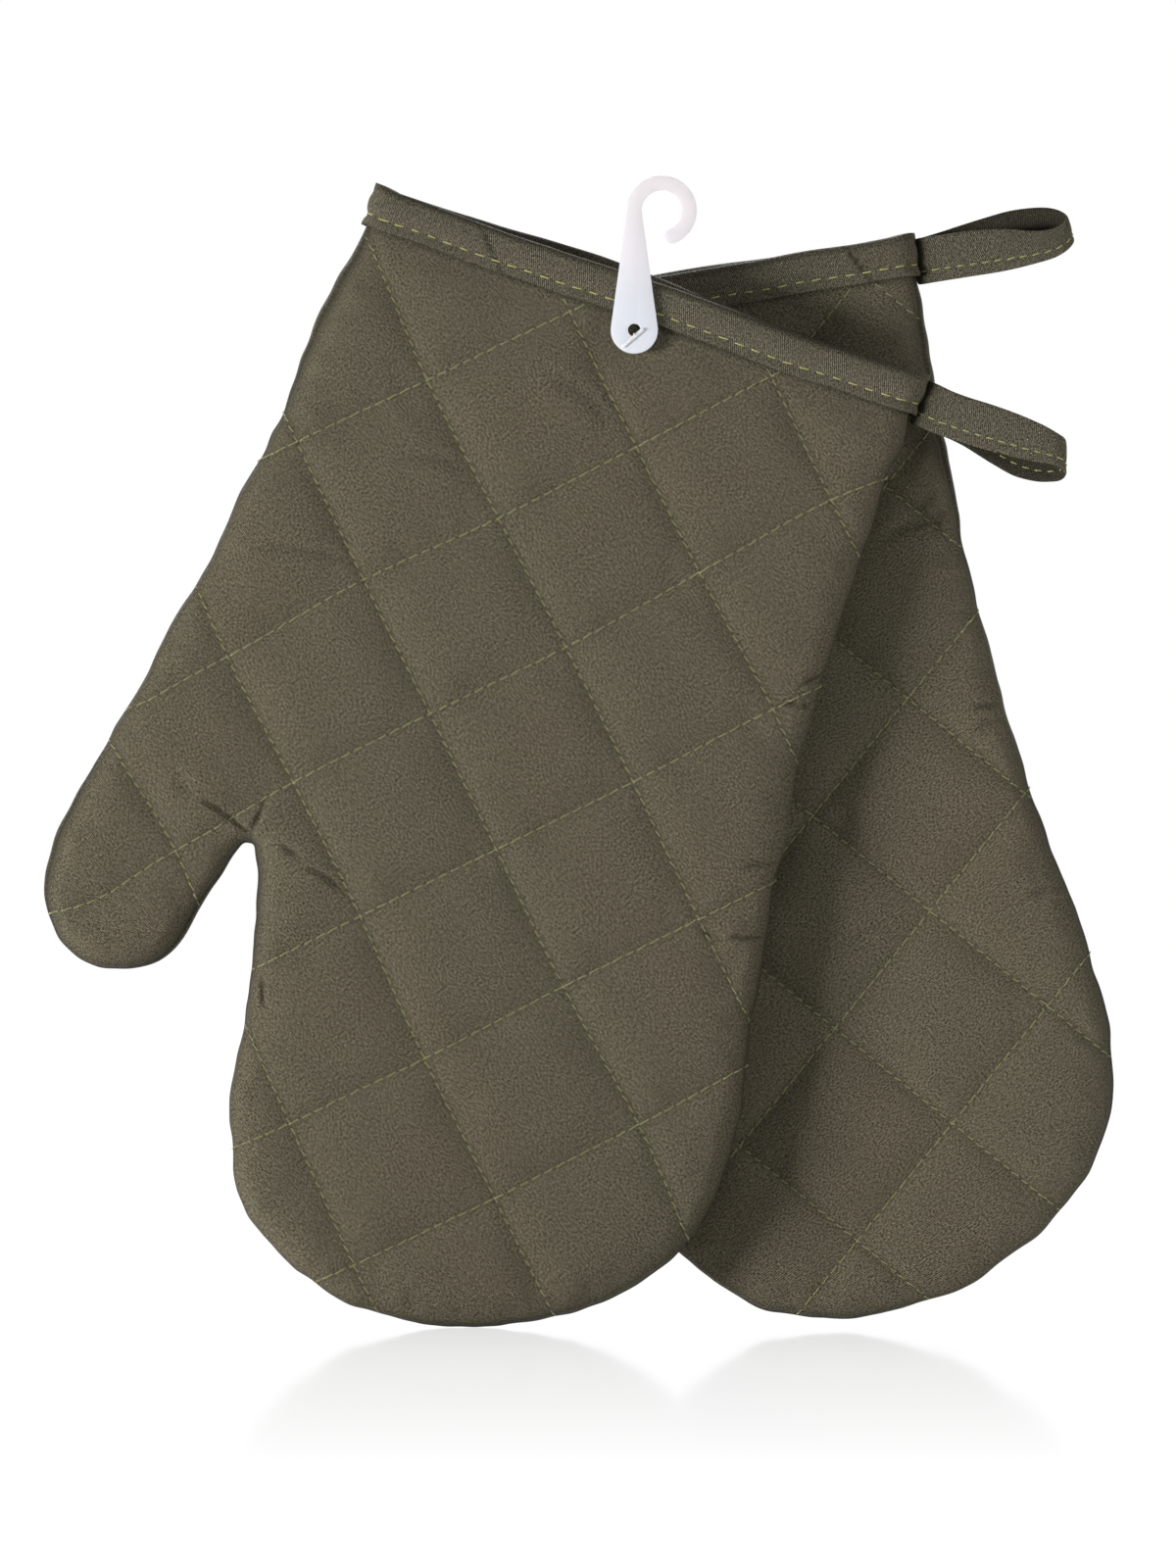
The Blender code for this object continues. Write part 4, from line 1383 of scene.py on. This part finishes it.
def add_hook():
    """The flat moulded hook with its edges rounded over."""
    outline = hook_outline()
    hole = arc_points((0, 0), hole_radius, 0, 2 * math.pi, 41)[:-1]
    points = np.vstack([outline, hole])
    edges = [(i, (i + 1) % len(outline)) for i in range(len(outline))]
    edges += [(len(outline) + i, len(outline) + (i + 1) % len(hole)) for i in range(len(hole))]
    made = delaunay_2d_cdt([Vector(point) for point in points], edges, [], 1, same_point)
    corners = np.array([tuple(point) for point in made[0]])
    faces = [tuple(face) for face in made[2]
             if np.linalg.norm(corners[list(face)].mean(axis=0)) > hole_radius * in_hole]
    front_face = np.full(len(corners), hook_thickness / 2)
    thing = close_wall("hook", corners, faces, front_face, -front_face)
    move_points(thing.data, points_of(thing.data)[:, [0, 2, 1]] * (1, -1, 1)
                + np.array(hole_centre))
    bmesh_outward(thing)
    rounding = thing.modifiers.new("rounded edges", "BEVEL")
    rounding.width = hook_round
    rounding.segments = 3
    rounding.limit_method = "ANGLE"
    rounding.angle_limit = math.radians(60)
    bake_modifiers(thing)
    thing.data.shade_smooth()
    thing.data.set_sharp_from_angle(angle=math.radians(50))
    finish_piece(thing, "moulded_hook", "hook", "hook_plastic", "hook_plastic", "display_hook")


def rounded_rod(points, radius, sides=12):
    """A tube along a row of points, with round ends."""
    points = np.asarray(points, float)
    run = runs(points)
    helper = np.array((0.3, 0.1, 0.95))
    first = np.cross(run, helper)
    first /= np.linalg.norm(first, axis=1)[:, None]
    second = np.cross(run, first)
    rings = []
    for end, way in ((0, 1), (-1, -1)):
        caps = [(points[end] - way * run[end] * radius * math.sin(a), radius * math.cos(a),
                 first[end], second[end]) for a in (math.radians(80), math.radians(45))]
        rings.append(caps if way > 0 else caps[::-1])
    body = [(point, radius, a, b) for point, a, b in zip(points, first, second)]
    places = []
    for centre, reach, a, b in rings[0] + body + rings[1]:
        for k in range(sides):
            angle = 2 * math.pi * k / sides
            places.append(centre + reach * (a * math.cos(angle) + b * math.sin(angle)))
    return places, tube_faces(len(places) // sides, sides)


rod_shares = (-1, -0.5, 0, 0.5, 1)
shank_steps = 9


def add_pin():
    """Clear tag pin: bar on the hook's front, shank through both cuffs, paddle behind."""
    low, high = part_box("tag_pin")
    axis = np.array(joints["tag_pin_turn"]["pos_m"])
    lean = np.array((math.cos(bar_angle), 0, math.sin(bar_angle)))
    front_y = low.y + bar_radius
    back_y = high.y - bar_radius
    bar_centre = np.array((axis[0] + bar_droop[0], front_y, axis[2] + bar_droop[1]))
    reach = bar_length / 2 - bar_radius
    shank = [(axis[0], y, axis[2]) for y in np.linspace(front_y, back_y, shank_steps)]
    parts = [rounded_rod([bar_centre + lean * reach * k for k in rod_shares], bar_radius),
             rounded_rod(shank, shank_radius)]
    on_hook = low.y + 2 * bar_radius
    for place in parts[0][0]:
        place[1] = on_hook - bar_flatness * (on_hook - place[1])
    flat = paddle_length / 2 - paddle_width / 2
    parts.append(rounded_rod([(axis[0] + lean[0] * flat * k, back_y, axis[2] + lean[2] * flat * k)
                              for k in rod_shares], bar_radius))
    form = bmesh.new()
    for places, faces in parts:
        corners = [form.verts.new(place) for place in places]
        for face in faces:
            form.faces.new([corners[i] for i in face])
    across = Vector((-lean[2], 0, lean[0]))
    paddle_centre = Vector((axis[0], back_y, axis[2]))
    for corner in list(form.verts)[-len(parts[-1][0]):]:
        off = (corner.co - paddle_centre).dot(across)
        corner.co += across * off * (paddle_width / 2 / bar_radius - 1)
    mesh = bpy.data.meshes.new("pin")
    form.to_mesh(mesh)
    form.free()
    thing = bmesh_outward(add_to_scene("pin", mesh))
    finish_piece(thing, "clear_tag_pin", "tag_pin", "clear_nylon", "clear_nylon", "tag_pin")


# Shared effects for the materials

def attribute(tree, name, output):
    return put(tree, "ShaderNodeAttribute", attribute_name=name).outputs[output]


def object_places(tree):
    return put(tree, "ShaderNodeTexCoord").outputs["Object"]


def separate(tree, vector):
    return put(tree, "ShaderNodeSeparateXYZ", {"Vector": vector}).outputs


def noise(tree, places, scale, detail=2.0, roughness=0.5):
    return put(tree, "ShaderNodeTexNoise", {"Vector": places, "Scale": scale, "Detail": detail,
                                            "Roughness": roughness}).outputs["Fac"]


def mapped(tree, value, low, high, to_low=0.0, to_high=1.0, kind="LINEAR"):
    """A value carried from one range to another, and held inside it."""
    return put(tree, "ShaderNodeMapRange",
               {"Value": value, "From Min": low, "From Max": high, "To Min": to_low,
                "To Max": to_high}, interpolation_type=kind).outputs["Result"]


def blend_colours(tree, share, first, second):
    return put(tree, "ShaderNodeMix", {0: share, 6: first, 7: second},
               data_type="RGBA").outputs[2]


def bumped(tree, height, strength, distance):
    return put(tree, "ShaderNodeBump", {"Strength": strength, "Distance": distance,
                                        "Height": height}).outputs["Normal"]


def seen_directly(tree):
    """1 for the camera, and in gloss and through what is clear, 0 for the light on things."""
    path = put(tree, "ShaderNodeLightPath").outputs
    return maths(tree, "MAXIMUM", path["Is Camera Ray"],
                 maths(tree, "MAXIMUM", path["Is Glossy Ray"], path["Is Transmission Ray"]))


warp_share = 0.42
weft_share = 0.20
weft_turn = 1.1
weft_pitch = 1.11
yarn_stretch = (1500, 2300, 1)
yarn_height = 0.6
yarn_unevenness = 2.4
weave_tone = 0.50
patch_scale = 17.0


def satin_group():
    """Twill ribs with uneven yarn on cloth coordinates: a height, a yarn tone and a patch."""
    group = bpy.data.node_groups.new("satin weave", "ShaderNodeTree")
    for title, kind in (("Coordinates", "Vector"), ("Pitch", "Float"), ("Angle", "Float")):
        group.interface.new_socket(title, in_out="INPUT", socket_type="NodeSocket" + kind)
    for title in ("Height", "Yarn", "Patch"):
        group.interface.new_socket(title, in_out="OUTPUT", socket_type="NodeSocketFloat")
    given = group.nodes.new("NodeGroupInput").outputs

    def turned(angle):
        return put(group, "ShaderNodeVectorRotate",
                   {"Vector": given["Coordinates"], "Angle": angle},
                   rotation_type="Z_AXIS").outputs["Vector"]

    def ribs(vector, pitch):
        turns = maths(group, "DIVIDE", separate(group, vector)["Y"], pitch)
        return maths(group, "SINE", maths(group, "MULTIPLY", turns, 2 * math.pi))

    main = turned(maths(group, "MULTIPLY", given["Angle"], -1.0))
    warp = ribs(main, given["Pitch"])
    weft = ribs(turned(maths(group, "MULTIPLY", given["Angle"], weft_turn)),
                maths(group, "MULTIPLY", given["Pitch"], weft_pitch))
    weave = maths(group, "ADD", maths(group, "MULTIPLY", warp, warp_share),
                  maths(group, "MULTIPLY", weft, weft_share))
    stretched = put(group, "ShaderNodeMapping", {"Vector": main, "Scale": yarn_stretch})
    yarn = noise(group, stretched.outputs["Vector"], 1.0, 1.0, 0.7)
    uneven = maths(group, "MULTIPLY", maths(group, "SUBTRACT", yarn, 0.5), yarn_unevenness)
    tone = maths(group, "ADD", maths(group, "MULTIPLY", weave, weave_tone), uneven)
    put(group, "NodeGroupOutput", {
        "Height": maths(group, "ADD", weave, maths(group, "MULTIPLY", yarn, yarn_height)),
        "Yarn": maths(group, "ADD", tone, 0.5),
        "Patch": noise(group, given["Coordinates"], patch_scale, 2.0, 0.45)})
    return group


# Materials

def new_material(name):
    material = bpy.data.materials.new(name)
    material.use_nodes = True
    return material, material.node_tree, material.node_tree.nodes["Principled BSDF"]


# Colour that the painted shade darkens the cloth towards
painted_shade_colour = (0.014, 0.013, 0.008)
patch_range = (0.36, 0.64)
yarn_range = (0.10, 0.95)
weave_depth = 0.00022
shine_change = 0.08


def cloth_material(name, green, brown, bright, pitch, angle, roughness, painted_shade_strength):
    """Satin cloth: green and brown yarn, lighter ribs, and painted shade along the seams, folds
    and edges.
    """
    material, tree, surface = new_material(name)
    weave = put(tree, "ShaderNodeGroup",
                {"Coordinates": attribute(tree, "cloth", "Vector"), "Pitch": pitch,
                 "Angle": math.radians(angle)}, node_tree=satin).outputs
    ground = blend_colours(tree, mapped(tree, weave["Patch"], *patch_range), green, brown)
    woven = blend_colours(tree, mapped(tree, weave["Yarn"], *yarn_range), ground, bright)
    # Painted shade from the values kept on the mesh
    darker = maths(tree, "MULTIPLY", attribute(tree, "seam", "Fac"), painted_shade_strength)
    fill_in(tree, surface, {
        "Base Color": blend_colours(tree, darker, woven, painted_shade_colour),
        "Normal": bumped(tree, weave["Height"], 0.8, weave_depth),
        "Roughness": mapped(tree, weave["Yarn"], 0.0, 1.0, roughness + shine_change,
                            roughness - shine_change),
        "Specular IOR Level": 0.05})
    return material


def wadding_material():
    """Fluffy cotton."""
    material, tree, surface = new_material("cotton wadding")
    fluff = noise(tree, object_places(tree), 700.0, 5.0)
    fill_in(tree, surface, {
        "Base Color": blend_colours(tree, fluff, (0.62, 0.59, 0.52), (0.84, 0.82, 0.77)),
        "Normal": bumped(tree, fluff, 0.8, 0.0006), "Roughness": 0.95, "Sheen Weight": 0.3})
    return material


ply_turns = 44.0
stitch_ends = (0.28, 0.48)


def thread_material(name, dark, light, ends_colour):
    """Two-ply yellow-green sewing thread, paler where a stitch dives into the cloth."""
    material, tree, surface = new_material(name)
    parts = separate(tree, attribute(tree, "thread", "Vector"))
    angle = maths(tree, "ARCTAN2", parts["Z"], parts["Y"])
    along = maths(tree, "MULTIPLY", parts["X"], ply_turns)
    twist = maths(tree, "SINE", maths(tree, "ADD", along, angle))
    plied = blend_colours(tree, mapped(tree, twist, -1.0, 1.0), dark, light)
    ends = mapped(tree, maths(tree, "ABSOLUTE", parts["X"]), *stitch_ends)
    fill_in(tree, surface, {
        "Base Color": blend_colours(tree, ends, plied, ends_colour),
        "Normal": bumped(tree, twist, 0.6, 0.00006), "Roughness": 0.42})
    return material


def plastic_material():
    """Milky translucent moulding with a faint flow pattern, and painted backlight: pinker up
    towards the eye, bluer lower down over the cloth.
    """
    material, tree, surface = new_material("milky plastic")
    place = object_places(tree)
    # Painted backlight: pinker towards the top, as if lit through from the white behind, bluer
    # below over the cloth
    painted_backlight = mapped(tree, separate(tree, place)["Z"], hole_centre.z, 0.0, kind="SMOOTHSTEP")
    cloudy = maths(tree, "MULTIPLY_ADD", noise(tree, place, 90.0), 0.2, -0.1)
    share = maths(tree, "ADD", painted_backlight, cloudy)
    fill_in(tree, surface, {
        "Base Color": blend_colours(tree, share, (0.87, 0.89, 0.975), (0.93, 0.87, 0.89)),
        "Normal": bumped(tree, noise(tree, place, 1800.0), 0.15, 0.00005),
        "Roughness": 0.38, "Transmission Weight": 0.12, "Subsurface Weight": 0.35,
        "Subsurface Radius": (0.0016, 0.0011, 0.0010), "Subsurface Scale": 1.0})
    return material


def nylon_material():
    """Clear nylon, slightly hazy."""
    material, tree, surface = new_material("clear nylon")
    haze = noise(tree, object_places(tree), 900.0)
    fill_in(tree, surface, {
        "Base Color": (0.96, 0.96, 0.98), "Roughness": mapped(tree, haze, 0.0, 1.0, 0.08, 0.40),
        "Transmission Weight": 0.20, "Specular IOR Level": 0.20, "IOR": 1.5})
    return material


# Stage and light

floor_gap = 0.0006
floor_size = 40.0
floor_stretch = 3.0
floor_colour = (0.82, 0.82, 0.82)
shadow_reach = (0.30, 1.20)
shadow_keep = 0.12
floor_lift = 1.11
mirror_reach = 2.0
mirror_share = 0.26
white = (1, 1, 1)


def add_floor():
    """A white polished floor that keeps a faint mirror image close under the pair."""
    level = cad_box[0].z - floor_gap
    half = floor_size / 2
    thing = new_object("floor", [(-half, -half, level), (half, -half, level),
                                 (half, half, level), (-half, half, level)], [(0, 1, 2, 3)])
    material, tree, surface = new_material("white floor")
    tree.nodes.remove(surface)
    parts = separate(tree, object_places(tree))
    flat = put(tree, "ShaderNodeCombineXYZ",
               {"X": parts["X"], "Y": maths(tree, "DIVIDE", parts["Y"], floor_stretch)})
    away = put(tree, "ShaderNodeVectorMath", {0: flat.outputs["Vector"]},
               operation="LENGTH").outputs["Value"]
    shaded = mapped(tree, away, *shadow_reach, 1 - shadow_keep, 1.0, "SMOOTHSTEP")
    lit = put(tree, "ShaderNodeBsdfDiffuse", {"Color": floor_colour})
    glow = put(tree, "ShaderNodeEmission", {"Color": white, "Strength": floor_lift})
    pale = put(tree, "ShaderNodeMixShader",
               {0: maths(tree, "MULTIPLY", seen_directly(tree), shaded), 1: lit.outputs[0],
                2: glow.outputs[0]})
    mirror = put(tree, "ShaderNodeBsdfGlossy", {"Color": white, "Roughness": 0.04})
    fade = mapped(tree, parts["Y"], -mirror_reach, 0.0, 0.0, mirror_share)
    polished = put(tree, "ShaderNodeMixShader",
                   {0: fade, 1: pale.outputs[0], 2: mirror.outputs[0]})
    fill_in(tree, tree.nodes["Material Output"], {"Surface": polished.outputs[0]})
    thing.data.materials.append(material)


room_light = 0.10


def add_world():
    """White to the camera and in reflections, and a plain soft light on the object."""
    world = bpy.data.worlds.new("white room")
    world.use_nodes = True
    bpy.context.scene.world = world
    tree = world.node_tree
    strength = mapped(tree, seen_directly(tree), 0.0, 1.0, room_light, 1.0)
    fill_in(tree, tree.nodes["Background"], {"Color": white, "Strength": strength})


# Lamps: name, place from the middle of the picture, size and power
lamps = (
    ("key", (-1.58, -0.95, -0.05), (0.7, 0.28), 45),
    ("fill", (1.3, -0.70, 0.10), (0.7, 0.4), 6.2),
    ("back", (-0.2, 1.3, 1.0), (0.7, 0.5), 20),
)


def add_lamp(name, offset, size, power):
    lamp = bpy.data.lights.new(name, "AREA")
    lamp.shape = "RECTANGLE"
    lamp.size, lamp.size_y = size
    lamp.energy = power
    thing = add_to_scene(name, lamp)
    thing.location = Vector((centre_x, 0, centre_z)) + Vector(offset)
    thing.rotation_euler = (-Vector(offset)).to_track_quat("-Z", "Y").to_euler()


# Make everything

satin = satin_group()
satin_roughness = 0.58
# How strongly the painted shade darkens the quilted cloth and the tape
quilt_shade = 0.35
tape_shade = 0.80
materials = {
    "front_cloth": cloth_material("olive satin", (0.024, 0.024, 0.013), (0.030, 0.023, 0.014),
                                  (0.240, 0.212, 0.146), 0.00048, -31, satin_roughness,
                                  quilt_shade),
    # The rear mitt's cloth: its weave mirrored, and its colours painted a little lighter than the
    # front's, as sheen
    "rear_cloth": cloth_material("olive satin, mirrored", (0.026, 0.026, 0.014),
                                 (0.032, 0.025, 0.015), (0.256, 0.226, 0.156), 0.00054, 29,
                                 satin_roughness, quilt_shade),
    "binding_tape": cloth_material("olive tape", (0.028, 0.028, 0.017), (0.033, 0.028, 0.018),
                                   (0.220, 0.197, 0.141), 0.00054, 105, satin_roughness,
                                   tape_shade),
    "lining_cloth": cloth_material("dark lining", (0.050, 0.048, 0.034), (0.054, 0.048, 0.034),
                                   (0.085, 0.080, 0.060), 0.0006, 45, 0.75, 0.0),
    "wadding": wadding_material(),
    "thread": thread_material("sewing thread", (0.17, 0.18, 0.060), (0.31, 0.315, 0.115),
                              (0.58, 0.56, 0.32)),
    "hem_thread": thread_material("hem thread", (0.30, 0.31, 0.09), (0.52, 0.52, 0.18),
                                  (0.60, 0.58, 0.28)),
    "hook_plastic": plastic_material(),
    "clear_nylon": nylon_material(),
}
stitches = stitch_tree()
stitch_form = stitch_mesh()


def add_mitt(mitt, creases, join, back_rise, loop_edges):
    net = soft_net(mitt)
    for side_name, side, marks in (("face", -1, creases), ("back", 1, ())):
        name = f"{mitt.name}_{side_name}"
        sheet, flat, faces = outer_surface(mitt, side, marks)
        surface = Surface(sheet)
        paths = quilting_paths(mitt, surface, side)
        wadding = add_lining_and_wadding(mitt, side_name, side, surface, net)
        thread = sew(f"{name}_quilting", paths, mitt.seed + side)
        finish_piece(thread, f"{name}_quilting", mitt.name, "thread", "outer_cloth")
        stand_up(sheet, mitt, side)
        thicken(sheet, outer_cloth)
        finish_piece(sheet, f"{name}_cloth", mitt.name,
                     "front_cloth" if mitt is front else "rear_cloth", "outer_cloth",
                     f"{name}_panel")
    add_binding(mitt, join, back_rise)
    add_loop(mitt, loop_edges)


add_mitt(front, front_creases, front_join, front_back_rise, front_loop_edges)
add_mitt(rear, rear_creases, rear_join, rear_back_rise, rear_loop_edges)
add_hook()
add_pin()
form_mesh = stitch_form.data
bpy.data.objects.remove(stitch_form)
bpy.data.meshes.remove(form_mesh)

add_floor()
add_world()
for lamp in lamps:
    add_lamp(*lamp)
bpy.context.scene.view_settings.view_transform = "Standard"
